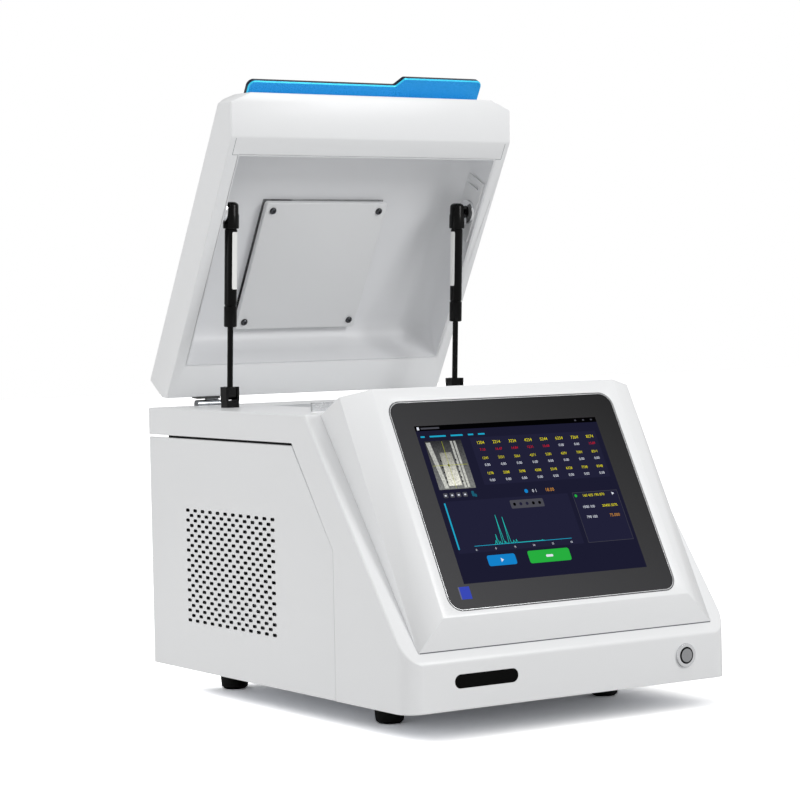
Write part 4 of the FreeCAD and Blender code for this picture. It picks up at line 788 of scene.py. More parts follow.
@dataclass
class SidePanel:
    """Left side panel: one steel sheet with a staggered field of oblong holes."""

    node: str = "left_panel"
    columns: int = 12
    rows: int = 12
    pitch_along: float = 14.7
    pitch_up: float = 9.92
    hole_length: float = 7.4
    hole_height: float = 3.2
    rear_depth: float = 76.4
    top_drop: float = 70.6
    round_steps: int = 7
    edge: float = 1.0
    edge_steps: int = 3
    wall_slant: float = 0.3

    def build(self) -> None:
        """Make the sheet in place of the node."""
        low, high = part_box(self.node)
        rear, top = high.y / MM, high.z / MM
        outer, inner = low.x, high.x
        first = (rear - self.rear_depth, top - self.top_drop)
        rows = self.row_list(first)
        sheet = self.plate(rows, outer, inner)
        tiles = Repeater("panel perforations", WHITE_COAT).repeat(
            self.tile(outer, inner), [Vector((0, y * MM, z * MM)) for row in rows for y, z in row]
        )
        sheet.from_mesh(tiles)
        bpy.data.meshes.remove(tiles)
        bmesh.ops.remove_doubles(sheet, verts=sheet.verts, dist=2 * SAME_PLACE)
        bmesh.ops.recalc_face_normals(sheet, faces=sheet.faces)
        made = dress(in_mesh("perforated_side_panel", sheet, ROUND_ANGLE), WHITE_COAT)
        # Painted shade: the holes' upright walls get the dark slot finish.
        made.data.materials.append(SLOT_SHADE.build())
        ahead = (rows[0][-1][0] - self.pitch_along) * MM
        behind = (rows[0][0][0] + self.pitch_along) * MM
        largest = (self.hole_height * MM) ** 2
        for face in made.data.polygons:
            upright = abs(face.normal.x) < self.wall_slant
            if upright and ahead < face.center.y < behind and face.area < largest:
                face.material_index = 1
        settle(made, "base", [self.node])

    def row_list(self, first: Point) -> list[list[Point]]:
        """Give the holes' centres, one list for each row from the top down.

        Args:
            first: Centre of the rearmost hole of the top row, as (y, z) in millimetres.

        Returns:
            Rows of (y, z) centres, each row half a pitch off the one above.
        """
        y0, z0 = first
        rows = []
        for k in range(2 * self.rows - 1):
            shift = 0.5 * (k % 2)
            count = self.columns - k % 2
            z = z0 - k * self.pitch_up / 2
            rows.append([(y0 - (c + shift) * self.pitch_along, z) for c in range(count)])
        return rows

    def level(self, bm: BMesh, x: float, points: Sequence[Point]) -> list[Corner]:
        """Add corners at one depth in x, from points as (y, z) in millimetres."""
        return [bm.verts.new((x, y * MM, z * MM)) for y, z in points]

    def tile(self, outer: float, inner: float) -> Piece:
        """Make one brick of sheet round one hole, centred at y and z of zero."""
        bm = bmesh.new()
        half_y, half_z = self.pitch_along / 2, self.pitch_up / 4
        reach, radius = (self.hole_length - self.hole_height) / 2, self.hole_height / 2
        rim = []
        for side in (1, -1):
            for k in range(self.round_steps + 1):
                angle = math.radians(-90 + 180 * k / self.round_steps) + (0 if side > 0 else math.pi)
                rim.append((side * reach + radius * math.cos(angle), radius * math.sin(angle)))
        corners = [(half_y, -half_z), (half_y, half_z), (-half_y, half_z), (-half_y, -half_z)]
        holes = []
        for x in (outer, inner):
            holes.append(self.level(bm, x, rim))
            fill_rings(bm, holes[-1], self.level(bm, x, corners))
        bridge(bm, *holes)
        return in_mesh("perforation tile", bm)

    def plate(self, rows: list[list[Point]], outer: float, inner: float) -> BMesh:
        """Make the sheet round the field of bricks.

        Args:
            rows: The holes' centres.
            outer: Depth in x of the outer face, in metres.
            inner: Depth in x of the inner face, in metres.

        Returns:
            The sheet's faces and outer edge, open where the bricks go.
        """
        outline = self.outline()
        field_edge = self.field_edge(rows)
        bm = bmesh.new()
        rims = []
        for x in (outer, inner):
            rims.append(self.level(bm, x, outline))
            fill_rings(bm, rims[-1], self.level(bm, x, field_edge))
        walls = bridge(bm, *rims)
        soft = [
            edge
            for edge in bm.edges
            if all(v in rims[0] for v in edge.verts) and any(f in walls for f in edge.link_faces)
        ]
        bmesh.ops.bevel(
            bm, geom=soft, offset=self.edge * MM, segments=self.edge_steps, profile=0.5, affect="EDGES"
        )
        return bm

    def outline(self) -> list[Point]:
        """Give the sheet's outline from its node, as (y, z) in millimetres."""
        bm = merged_copy(self.node)
        inner = max(v.co.x for v in bm.verts)
        flat = [f for f in bm.faces if all(abs(v.co.x - inner) < SAME_PLACE for v in f.verts)]
        points = {(round(v.co.y / MM, 3), round(v.co.z / MM, 3)) for f in flat for v in f.verts}
        bm.free()
        middle = (sum(p[0] for p in points) / len(points), sum(p[1] for p in points) / len(points))
        return self.hull(sorted(points), middle)

    def hull(self, points: list[Point], middle: Point) -> list[Point]:
        """Give the corners of the convex outline round some points.

        Args:
            points: Points as (y, z), sorted.
            middle: A point inside them.

        Returns:
            The outline's corners in order.
        """
        def turn(a: Point, b: Point, c: Point) -> float:
            """Give twice the area of a triangle, positive if it turns left."""
            return (b[0] - a[0]) * (c[1] - a[1]) - (b[1] - a[1]) * (c[0] - a[0])

        straight = 1e-3
        halves = []
        for run in (points, points[::-1]):
            chain: list[Point] = []
            for point in run:
                while len(chain) > 1 and turn(chain[-2], chain[-1], point) <= straight:
                    chain.pop()
                chain.append(point)
            halves += chain[:-1]
        return sorted(halves, key=lambda p: math.atan2(p[1] - middle[1], p[0] - middle[0]))

    def field_edge(self, rows: list[list[Point]]) -> list[Point]:
        """Give the stepped edge of the field of bricks, with every brick's corner on it."""
        half_y, half_z = self.pitch_along / 2, self.pitch_up / 4
        top = [(y + s * half_y, rows[0][0][1] + half_z) for y, _ in rows[0] for s in (1, -1)]
        bottom = [(y - s * half_y, rows[-1][0][1] - half_z) for y, _ in reversed(rows[-1]) for s in (1, -1)]
        front = [(row[-1][0] - half_y, row[0][1] + s * half_z) for row in rows for s in (1, -1)]
        rear = [(row[0][0] + half_y, row[0][1] - s * half_z) for row in reversed(rows) for s in (1, -1)]
        same = 0.01
        edge: list[Point] = []
        for point in [*top, *front, *bottom, *rear]:
            if not edge or math.dist(point, edge[-1]) > same:
                edge.append(point)
        if math.dist(edge[0], edge[-1]) < same:
            edge.pop()
        return edge


@dataclass
class SoftEdged:
    """A sheet-metal or moulded piece whose edges are rounded in its mesh."""

    node: str
    name: str
    body: str
    slot: Slot
    radius: float
    segments: int = 3
    sharp_angle: float = 25.0
    smooth_angle: float = 35.0

    def shape(self) -> BMesh:
        """Give the shape before its edges are rounded."""
        return merged_copy(self.node)

    def build(self) -> None:
        """Make the rounded piece in place of the node."""
        made = in_mesh(self.name, self.shape())
        bevel = made.modifiers.new("soft edges", "BEVEL")
        bevel.width = self.radius * MM
        bevel.segments = self.segments
        bevel.limit_method = "ANGLE"
        bevel.angle_limit = math.radians(self.sharp_angle)
        bevel.miter_outer = "MITER_ARC"
        bpy.context.view_layer.update()
        made.data = evaluated_mesh(made)
        made.modifiers.clear()
        made.data.shade_smooth()
        made.data.set_sharp_from_angle(angle=math.radians(self.smooth_angle))
        dress(made, SLOT_FINISH[self.slot])
        settle(made, self.body, [self.node])


@dataclass
class FoldedCover(SoftEdged):
    """Cover plate inside the lid. Its edges are folded back and end just short of the liner.

    What lies less than the skin's depth from the plate's back face moves back by the fold.
    """

    frame: TiltedFrame = field(default_factory=lambda: TiltedFrame(Vector(), 0.0))
    fold: float = 3.6
    gap: float = 3.6
    skin: float = 0.5

    def shape(self) -> BMesh:
        """Give the plate with its back face moved to the end of the folds."""
        bm = merged_copy(self.node)
        _, high = self.frame.span(self.node)
        inward = self.frame.turn() @ Vector((0, 0, 1))
        back = high.z * MM + self.frame.origin.dot(inward)
        for corner in bm.verts:
            if corner.co.dot(inward) > back - self.skin * MM:
                corner.co += inward * self.fold * MM
        return bm

    def build(self) -> None:
        """Make the cover, and a dark sheet of painted shade in the gap behind its folds."""
        SoftEdged.build(self)
        low, high = self.frame.span(self.node)
        depth = high.z + self.fold + self.gap
        corners = square_outline((low.x, low.y, high.x, high.y))
        # Painted shade: a dark sheet behind the plate, seen through the gap where its folds end.
        gap = flat_faces("shield_plate_gap", [[self.frame.out(x, y, depth) for x, y in corners]])
        settle(dress(gap, SLOT_SHADE), self.body)


@dataclass
class LidLiner:
    """The lid's inner tray: square at its mouth, well rounded at its back, least so in front."""

    frame: TiltedFrame
    node: str = "lid_liner"
    sheet: float = 1.3
    outer_radius: float = 0.4
    mouth_radius: float = 1.5
    deep_radius: float = 27.0
    back_radius: float = 24.0
    front_share: float = 0.25
    post_radius: float = 4.0
    post_sides: int = 20
    round_steps: int = 8

    def build(self, seats: Sequence[Vector], turn: Euler) -> None:
        """Make the tray in place of the node.

        Args:
            seats: Where the cover plate's screws sit, in metres.
            turn: How the screws are turned.
        """
        low, high = self.frame.span(self.node)
        depth = high.z - self.sheet
        wall = depth - self.back_radius
        rings = [
            (0.0, self.outer_radius, high.z),
            (0.0, self.outer_radius, low.z),
            (self.sheet, self.mouth_radius, low.z),
            (self.sheet, self.deep_radius, wall),
        ]
        for k in range(1, self.round_steps + 1):
            angle = math.pi / 2 * k / self.round_steps
            inward = self.back_radius * (1 - math.cos(angle))
            deeper = self.back_radius * math.sin(angle)
            rings.append((self.sheet + inward, self.deep_radius - inward, wall + deeper))
        bm = bmesh.new()
        loops = [self.ring(bm, low, high, *ring) for ring in rings]
        for near, far in zip(loops, loops[1:]):
            bridge(bm, near, far)
        bm.faces.new(loops[0])
        bm.faces.new(loops[-1])
        bmesh.ops.recalc_face_normals(bm, faces=bm.faces)
        post = bmesh.new()
        seat_depth = (self.frame.turn().transposed() @ (seats[0] - self.frame.origin) / MM).z
        length = (depth - seat_depth) * MM
        radius = self.post_radius * MM
        bmesh.ops.create_cone(
            post, cap_ends=True, segments=self.post_sides, radius1=radius, radius2=radius,
            depth=length, matrix=Matrix.Translation((0, 0, -length / 2)),
        )
        shape = in_mesh("shield post", post, ROUND_ANGLE)
        posts = Repeater("shield posts", LINER_COAT).repeat(shape, seats, turn)
        bm.from_mesh(posts)
        bpy.data.meshes.remove(posts)
        made = dress(in_mesh("lid_liner_tray", bm, ROUND_ANGLE), LINER_COAT)
        settle(made, "lid", [self.node])

    def ring(
        self, bm: BMesh, low: Vector, high: Vector, inset: float, radius: float, depth: float
    ) -> list[Corner]:
        """Add the corners of one level outline of the tray.

        Args:
            bm: The tray's mesh.
            low: The node's lowest corner in the lid's frame.
            high: The node's highest corner in the lid's frame.
            inset: How far the outline lies inside the node's own.
            radius: Radius of its four corners.
            depth: How deep it lies.

        Returns:
            The new corners in order.
        """
        front_inset = min(inset, self.sheet + (inset - self.sheet) * self.front_share)
        area = (low.x + inset, low.y + front_inset, high.x - inset, high.y - inset)
        outline = rounded_outline(area, radius, self.round_steps)
        return [bm.verts.new(self.frame.out(x, y, depth)) for x, y in outline]


@dataclass
class Screen:
    """Cover glass with the lit picture of a measurement.

    Places and areas are in millimetres from the picture's lower left corner. An area is its left, low,
    right and high side, and a row of marks is its first place, its step and its count. Figures are their
    finish, text, middle, foot and size. Every shape lies on a numbered layer above the glass.
    """

    frame: TiltedFrame
    glass: str = "touch_glass"
    width: float = 210.0
    height: float = 157.4
    rise: float = 23.5
    offset: float = -2.3
    layer: float = 0.03
    corner_steps: int = 6
    body: str = "base"
    parts: dict[str, BMesh] = field(default_factory=dict)
    finishes: dict[str, Finish] = field(default_factory=dict)

    NAVY = LitPixels("screen navy", "#1c1c31")
    PANEL = LitPixels("screen panel", "#212138")
    BLACK = LitPixels("screen black", "#030304")
    CYAN = LitPixels("screen cyan", "#1fa6c9")
    TEAL = LitPixels("screen teal", "#22b8b0")
    PETROL = LitPixels("screen petrol", "#1b5a70")
    YELLOW = LitPixels("screen yellow", "#e8dc14")
    CROSS = LitPixels("screen cross hair", "#a8ac1c")
    ORANGE = LitPixels("screen orange", "#c98b3a")
    RED = LitPixels("screen red", "#cf1326")
    WHITE = LitPixels("screen white", "#dfe3ee")
    GREY = LitPixels("screen grey", "#4a4a52")
    BLUE = LitPixels("screen blue", "#1481c9")
    GREEN = LitPixels("screen green", "#27ad3f")
    # The film tab's colours glow like the picture's: a painted glow on a part that is no lamp.
    TAB_BLUE = LitPixels("film tab blue", "#3a49b4")
    TAB_PALE_STRIP = LitPixels("film tab haze", "#6a6c86")

    # Menus along the top edge
    TITLE_HEIGHT = 5.2
    WINDOW_MARKS = (184.0, 193.5, 203.0)
    MENU_MARKS = ((3.5, 8.0), (13.5, 31.5), (37.0, 50.5), (56.5, 62.5), (68.0, 75.5))

    # Sample camera's view, in shares of its width and height, and the icons under it
    VIEW = (5.9, 92.5, 46.5, 141.7)
    VIEW_RAIL = ((0.17, 0.02), (0.27, 0.02), (0.14, 0.97), (0.02, 0.97))
    THIN_RAIL = ((0.0, 0.02), (0.06, 0.02), (0.05, 0.98), (-0.01, 0.98))
    THIN_RAILS_AT = (0.70, 0.79)
    VIEW_PLATE = ((0.29, 0.07), (0.65, 0.07), (0.63, 0.75), (0.31, 0.75))
    HOLE_SIDE = 0.035
    HOLES_ACROSS = (0.26, 0.675)
    HOLES_UP = (0.13, 0.22, 0.33, 0.43, 0.57)
    APERTURE = (0.43, 0.46, 0.48, 0.51)
    CROSS_HAIR = ((0.46, 0.02, 0.47, 0.98), (0.03, 0.485, 0.97, 0.493))
    ICONS = (8.0, 7.2, 4)
    ICON = (0.0, 84.2, 5.0, 89.0)
    ICON_MARK = (1.5, 85.8, 3.5, 87.2)
    TALL_ICONS = ((39.5, 84.0, 42.5, 89.6), (42.0, 83.4, 44.8, 86.6))

    # Table of results and the line under it
    TABLE = (57.0, 94.6, 204.0, 143.0)
    CELL_FIRST = (67.5, 136.0)
    CELL_STEP = (18.3, 15.6)
    VALUE_DROP = 7.0
    HEADING_SIZE = 4.4
    NAME_SIZE = 3.7
    VALUE_SIZE = 3.6
    RESULT_DOT = (99.0, 83.6, 103.0, 87.6)
    RESULT_FIGURES = ((WHITE, "0 1", 110.5, 83.9, 4.4), (ORANGE, "18.00", 128.0, 83.9, 4.8))

    # Plot: each peak is its place and its height
    TOOLBAR = (78.5, 69.0, 116.5, 77.4)
    TOOLS = (83.0, 7.2, 5)
    TOOL = (-1.6, 71.6, 1.6, 74.8)
    DARK_TOOLS = (0, 3, 4)
    PLOT = (5.0, 29.0, 147.0, 80.5)
    PLOT_STRIPE = (5.7, 32.9, 7.3, 79.1)
    FLOOR = 35.2
    FLOOR_LINE = (24.1, 134.6)
    SPECTRUM = (46.0, 104.0)
    PEAKS = (
        (49.0, 4.0), (51.0, 10.0), (53.5, 3.0), (57.2, 29.0), (59.5, 2.5), (64.2, 26.5), (68.8, 3.0),
        (72.0, 3.6), (101.0, 1.0),
    )
    AXIS_FIGURES = (25.0, 21.6, 6)

    # Box of values and the touch buttons
    INFO_BOX = (152.5, 29.3, 205.6, 80.3)
    INFO_LAMP = (154.2, 75.6, 157.2, 78.6)
    INFO_ARROW = ((198.5, 75.6), (201.5, 77.1), (198.5, 78.6))
    INFO_FIGURES = (
        (YELLOW, "160 425 190 870", 176.5, 75.6, 3.8),
        (WHITE, "1000 100", 166.5, 64.0, 3.8),
        (YELLOW, "20400 5070", 191.5, 64.0, 3.8),
        (WHITE, "790 100", 166.5, 53.6, 3.8),
        (ORANGE, "75.000", 193.5, 53.6, 4.4),
    )
    PLAY_BUTTON = (33.5, 14.6, 65.0, 25.2)
    PLAY_ARROW = ((48.3, 17.9), (51.3, 19.9), (48.3, 21.9))
    WIDE_BUTTON = (79.5, 13.8, 127.0, 26.2)
    WIDE_BUTTON_MARK = (99.2, 18.8, 107.4, 21.2)

    def build(self) -> None:
        """Dress the glass and lay the picture on it."""
        low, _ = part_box(self.glass)
        ink = InkedGlass("inked cover glass", "#171718", 0.07, corner=tuple(low))
        dress(frame["nodes"][self.glass], ink)
        span_low, span_high = self.frame.span(self.glass)
        self.left = self.offset - self.width / 2
        self.low = span_low.y + self.rise
        self.face = span_high.z
        self.background()
        self.camera_view()
        self.table()
        self.result_line()
        self.toolbar()
        self.plot()
        self.info_box()
        self.buttons()
        self.film_tab(span_low)
        self.glass_line(span_low, span_high)
        self.join()

    def polygon(self, finish: Finish, points: Sequence[Point], layer: int, screen: bool = True) -> None:
        """Add a flat shape to the picture.

        Args:
            finish: Its finish.
            points: Its corners in order.
            layer: How many layers it lies above the glass.
            screen: False if the corners are in the screen frame itself.
        """
        bm = self.parts.setdefault(finish.name, bmesh.new())
        self.finishes[finish.name] = finish
        move = (self.left, self.low) if screen else (0.0, 0.0)
        proud = self.face + layer * self.layer
        corners = [bm.verts.new(self.frame.out(x + move[0], y + move[1], proud)) for x, y in points]
        bm.faces.new(corners)

    def bar(self, finish: Finish, area: Area, layer: int) -> None:
        """Add a rectangle."""
        self.polygon(finish, square_outline(area), layer)

    def line(self, finish: Finish, path: Sequence[Point], width: float, layer: int) -> None:
        """Add straight strokes along a path."""
        for stroke in strokes(path, width):
            self.polygon(finish, stroke, layer)

    def rounded(self, finish: Finish, area: Area, radius: float, layer: int) -> None:
        """Add a rectangle with round corners."""
        self.polygon(finish, rounded_outline(area, radius, self.corner_steps), layer)

    def number(self, finish: Finish, text: str, x: float, y: float, size: float, layer: int) -> None:
        """Add plain figures centred on a point.

        Args:
            finish: Their finish.
            text: The figures.
            x: Middle across, in millimetres.
            y: Foot of the figures, in millimetres.
            size: Letter size in millimetres.
            layer: How many layers they lie above the glass.
        """
        curve = bpy.data.curves.new("figures", "FONT")
        curve.body = text
        curve.size = size
        curve.align_x = "CENTER"
        curve.resolution_u = 3
        writer = bpy.data.objects.new("figures", curve)
        bpy.context.scene.collection.objects.link(writer)
        bpy.context.view_layer.update()
        flat = evaluated_mesh(writer)
        drop(writer)
        proud = self.face + layer * self.layer
        for corner in flat.vertices:
            corner.co = self.frame.out(self.left + x + corner.co.x, self.low + y + corner.co.y, proud)
        bm = self.parts.setdefault(finish.name, bmesh.new())
        self.finishes[finish.name] = finish
        bm.from_mesh(flat)
        bpy.data.meshes.remove(flat)

    def figures(self, rows: Iterable[tuple[Finish, str, float, float, float]], layer: int) -> None:
        """Add several plain figures."""
        for finish, text, x, y, size in rows:
            self.number(finish, text, x, y, size, layer)

    def marks(self, row: tuple[float, float, int], area: Area) -> list[Area]:
        """Give an area at each place of a row of marks."""
        first, step, count = row
        places = [first + step * k for k in range(count)]
        return [(area[0] + x, area[1], area[2] + x, area[3]) for x in places]

    def background(self) -> None:
        """Lay the dark picture with its black title bar and menu marks.

        A mark is its finish, its left and right side, how far its foot and its top lie below the top edge,
        and its layer.
        """
        self.bar(self.NAVY, (0, 0, self.width, self.height), 1)
        marks = [(self.BLACK, 0, self.width, self.TITLE_HEIGHT, 0, 2), (self.WHITE, 2.2, 4.6, 4.2, 1.2, 3)]
        marks.append((self.GREY, 6.5, 27.0, 3.6, 1.9, 3))
        marks += [(self.GREY, x, x + 2.2, 3.2, 1.8, 3) for x in self.WINDOW_MARKS]
        marks += [(self.CYAN, start, end, 12.0, 10.4, 3) for start, end in self.MENU_MARKS]
        for finish, left, right, foot, top, layer in marks:
            self.bar(finish, (left, self.height - foot, right, self.height - top), layer)

    def camera_view(self) -> None:
        """Lay the sample camera's picture with its cross hair and the icons under it."""
        x0, y0, x1, y1 = self.VIEW
        low = self.frame.out(0, self.low + y0, self.face).z
        high = self.frame.out(0, self.low + y1, self.face).z
        heights = {"low_z": low, "high_z": high}

        def patch(finish: Finish, outline: Sequence[Point], layer: int) -> None:
            """Lay a patch whose corners are shares of the picture's width and height."""
            self.polygon(finish, [(x0 + (x1 - x0) * u, y0 + (y1 - y0) * v) for u, v in outline], layer)

        stage = CameraPicture("camera picture stage", "#7d7e7c", top_colour="#2c2d30", **heights)
        rail = CameraPicture("camera picture rail", "#c6c7bf", top_colour="#a9aaa6", **heights)
        plate = CameraPicture("camera picture plate", "#f4f3e6", top_colour="#3a3b38", **heights)
        patch(stage, square_outline((0, 0, 1, 1)), 3)
        patch(rail, self.VIEW_RAIL, 4)
        for left in self.THIN_RAILS_AT:
            patch(rail, [(left + u, v) for u, v in self.THIN_RAIL], 4)
        patch(plate, self.VIEW_PLATE, 5)
        for u in self.HOLES_ACROSS:
            for v in self.HOLES_UP:
                patch(self.BLACK, square_outline((u, v, u + self.HOLE_SIDE, v + self.HOLE_SIDE)), 6)
        patch(self.BLACK, square_outline(self.APERTURE), 6)
        for hair in self.CROSS_HAIR:
            patch(self.CROSS, square_outline(hair), 7)
        for icon, mark in zip(self.marks(self.ICONS, self.ICON), self.marks(self.ICONS, self.ICON_MARK)):
            self.rounded(self.GREY, icon, 1.0, 3)
            self.bar(self.WHITE, mark, 4)
        for icon in self.TALL_ICONS:
            self.rounded(self.PETROL, icon, 1.2, 3)

    def table(self) -> None:
        """Lay the table of results as plain figures, a name and a value below it in each cell."""
        self.bar(self.PANEL, self.TABLE, 2)
        for row in range(3):
            for column in range(8):
                x = self.CELL_FIRST[0] + self.CELL_STEP[0] * column
                y = self.CELL_FIRST[1] - self.CELL_STEP[1] * row
                name = str(1204 + 1010 * column + 37 * row)
                self.number(self.YELLOW, name, x, y, self.NAME_SIZE if row else self.HEADING_SIZE, 3)
                major = row == 0 and column not in (5, 6)
                value = f"{7 + 9 * column % 11}.{37 * column % 90 + 10}" if major else "0.00"
                colour = self.RED if major else self.WHITE
                self.number(colour, value, x, y - self.VALUE_DROP, self.VALUE_SIZE, 3)

    def result_line(self) -> None:
        """Lay the line between the table and the plot."""
        self.rounded(self.BLUE, self.RESULT_DOT, 1.9, 3)
        self.figures(self.RESULT_FIGURES, 3)

    def toolbar(self) -> None:
        """Lay the plot's small toolbar."""
        self.rounded(self.GREY, self.TOOLBAR, 1.2, 4)
        for k, tool in enumerate(self.marks(self.TOOLS, self.TOOL)):
            self.rounded(self.BLACK if k in self.DARK_TOOLS else self.PANEL, tool, 1.5, 5)

    def plot(self) -> None:
        """Lay the spectrum: a level line with sharp peaks over a numbered axis."""
        self.bar(self.PANEL, self.PLOT, 2)
        self.bar(self.CYAN, self.PLOT_STRIPE, 4)
        floor, foot, waist = self.FLOOR, 1.3, 0.35
        self.line(self.CYAN, [(x, floor) for x in self.FLOOR_LINE], 0.5, 4)
        start, end = self.SPECTRUM
        shape: list[Point] = [(start, floor)]
        for x, height in self.PEAKS:
            low, middle = floor + 0.3, floor + height * 0.55
            shape += [(x - foot, low), (x - waist, middle), (x, floor + height), (x + waist, middle)]
            shape.append((x + foot, low))
        shape.append((end, floor))
        self.line(self.TEAL, shape, 0.55, 5)
        first, step, count = self.AXIS_FIGURES
        self.figures([(self.WHITE, str(8 * k), first + step * k, 30.6, 2.6) for k in range(count)], 4)

    def info_box(self) -> None:
        """Lay the framed box with its values."""
        outline = square_outline(self.INFO_BOX)
        self.bar(self.PANEL, self.INFO_BOX, 2)
        self.line(self.GREY, [*outline, outline[0]], 0.35, 3)
        self.rounded(self.GREEN, self.INFO_LAMP, 1.45, 4)
        self.polygon(self.WHITE, self.INFO_ARROW, 4)
        self.figures(self.INFO_FIGURES, 4)

    def buttons(self) -> None:
        """Lay the two touch buttons."""
        self.rounded(self.BLUE, self.PLAY_BUTTON, 2.2, 3)
        self.rounded(self.GREEN, self.WIDE_BUTTON, 2.2, 3)
        self.polygon(self.WHITE, self.PLAY_ARROW, 4)
        self.rounded(self.WHITE, self.WIDE_BUTTON_MARK, 1.1, 4)

    def film_tab(self, span_low: Vector) -> None:
        """Lay the blue tab of the protective film in the glass's lower left corner, with a paler strip
        along its left side; both glow in their own colours, a painted glow.
        """
        x, y, width, height, strip_width = span_low.x + 14.0, span_low.y + 9.0, 11.0, 12.0, 1.2
        tab = square_outline((x, y, x + width, y + height))
        self.polygon(self.TAB_BLUE, tab, 1, screen=False)
        self.polygon(self.TAB_PALE_STRIP, square_outline((x - strip_width, y, x, y + height)), 1, screen=False)

    def glass_line(self, span_low: Vector, span_high: Vector) -> None:
        """Lay the dark gap round the bright trim."""
        radius, steps = 12.0, 8
        rings = []
        for grow in (0.95, 1.65):
            area = (span_low.x - grow, span_low.y - grow, span_high.x + grow, span_high.y + grow)
            rings.append(rounded_outline(area, radius + grow, steps))
        inner, outer = rings
        for k in range(len(inner)):
            j = (k + 1) % len(inner)
            self.polygon(SLOT_SHADE, [inner[k], outer[k], outer[j], inner[j]], 1, screen=False)

    def join(self) -> None:
        """Put the picture's shapes on the body, one piece for each finish."""
        for name, bm in self.parts.items():
            bmesh.ops.triangulate(bm, faces=[f for f in bm.faces if len(f.verts) > 4])
            made = dress(in_mesh(name.replace(" ", "_"), bm), self.finishes[name])
            settle(made, self.body)


@dataclass
class Strut:
    """Gas strut cylinder: gland sleeve, groove, tube, round-topped ball socket and bare label."""

    side: str
    socket_radius: float = 8.0
    sleeve_radius: float = 6.5
    tube_radius: float = 6.25
    groove_radius: float = 5.7
    rod_radius: float = 2.97
    sleeve_share: float = 0.171
    socket_share: float = 0.785
    neck_share: float = 0.9
    end_depth: float = 4.0
    steps: int = 40
    smooth_angle: float = 32.0
    label_low: float = 0.303
    label_high: float = 0.760
    label_corner: float = 0.012
    label_short: float = 0.86
    label_reach: float = 38.0
    label_proud: float = 0.08
    label_steps: int = 10

    def build(self) -> None:
        """Make the cylinder in place of its node and lay the label on it."""
        node = f"{self.side}_strut_tube"
        corners = [v.co.copy() for v in frame["nodes"][node].data.vertices]
        middle_x = (min(c.x for c in corners) + max(c.x for c in corners)) / 2
        lowest, highest = min(c.z for c in corners), max(c.z for c in corners)
        ends = []
        depth = self.end_depth * MM
        foot = [c for c in corners if c.z < lowest + depth]
        top = [c for c in corners if c.z > highest - depth]
        for group in (foot, top):
            centre = sum(group, Vector()) / len(group)
            ends.append(Vector((middle_x, centre.y, centre.z)))
        self.axis = (ends[1] - ends[0]).normalized()
        reach = [c.dot(self.axis) for c in corners]
        self.start = ends[0] + self.axis * (min(reach) - ends[0].dot(self.axis))
        self.length = max(reach) - min(reach)
        self.across = Vector((1, 0, 0))
        self.ahead = self.across.cross(self.axis).normalized()
        self.cylinder(node)
        self.label()

    def out(self, share: float, radius: float, degrees: float) -> Vector:
        """Give a point round the axis.

        Args:
            share: How far it is along the cylinder, from 0 to 1.
            radius: Millimetres from the axis.
            degrees: Turn round the axis: 0 faces the front, 90 the right.

        Returns:
            The point in metres.
        """
        angle = math.radians(degrees)
        away = self.ahead * math.cos(angle) + self.across * math.sin(angle)
        return self.start + self.axis * self.length * share + away * radius * MM

    def profile(self) -> list[Point]:
        """Give the outline as shares of the length and radii in millimetres, from the gland to the top."""
        mm = MM / self.length
        sleeve, socket, neck = self.sleeve_share, self.socket_share, self.neck_share
        gland, groove = self.sleeve_radius, self.groove_radius
        tube, head = self.tube_radius, self.socket_radius
        return [
            (0.0, self.rod_radius), (0.0, gland - 1.0), (0.4 * mm, gland - 0.3), (1.2 * mm, gland),
            (sleeve - 1.0 * mm, gland), (sleeve - 0.3 * mm, groove), (sleeve + 0.6 * mm, groove),
            (sleeve + 1.2 * mm, tube), (socket - 0.8 * mm, tube), (socket - 0.6 * mm, groove),
            (socket, groove), (socket + 0.2 * mm, head - 0.5), (socket + 0.8 * mm, head),
            (neck - 0.005, head), (neck + 0.005, head - 0.5), (1 - 3.6 * mm, head - 0.6),
            (1 - 2.0 * mm, head - 1.3), (1 - 0.9 * mm, head - 2.6), (1 - 0.2 * mm, head - 4.4),
        ]

    def cylinder(self, node: str) -> None:
        """Turn the profile round the axis and close it at the top."""
        bm = bmesh.new()
        turns = [360 * k / self.steps for k in range(self.steps)]
        rings = []
        for share, radius in self.profile():
            rings.append([bm.verts.new(self.out(share, radius, turn)) for turn in turns])
        for low, high in zip(rings, rings[1:]):
            bridge(bm, low, high)
        top = bm.verts.new(self.out(1.0, 0.0, 0.0))
        last = rings[-1]
        for k in range(self.steps):
            bm.faces.new((last[k], last[(k + 1) % self.steps], top))
        bmesh.ops.recalc_face_normals(bm, faces=bm.faces)
        made = dress(in_mesh(f"{self.side}_strut_cylinder", bm, self.smooth_angle), GLOSS_LACQUER)
        settle(made, f"{self.side}_tube", [node])

    def label(self) -> None:
        """Lay the bare paper label on the tube, facing the front on the left and inwards on the right."""
        centre = 21.0 if self.side == "left" else -90.0
        steps, radius = self.label_steps, self.tube_radius + self.label_proud
        levels = (
            (self.label_low, self.label_short),
            (self.label_low + self.label_corner, 1.0),
            (self.label_high - self.label_corner, 1.0),
            (self.label_high, self.label_short),
        )
        bm = bmesh.new()
        rows = []
        for share, reach in levels:
            turns = [centre + self.label_reach * reach * (k / steps * 2 - 1) for k in range(steps + 1)]
            rows.append([bm.verts.new(self.out(share, radius, turn)) for turn in turns])
        for low, high in zip(rows, rows[1:]):
            for k in range(steps):
                bm.faces.new((low[k], low[k + 1], high[k + 1], high[k]))
        paper = MouldedPlastic("white paper label", "#f2f2f0", 0.55, grain_mm=0.5, depth_mm=0.002)
        made = dress(in_mesh(f"{self.side}_strut_label", bm, ROUND_ANGLE), paper)
        settle(made, f"{self.side}_tube")


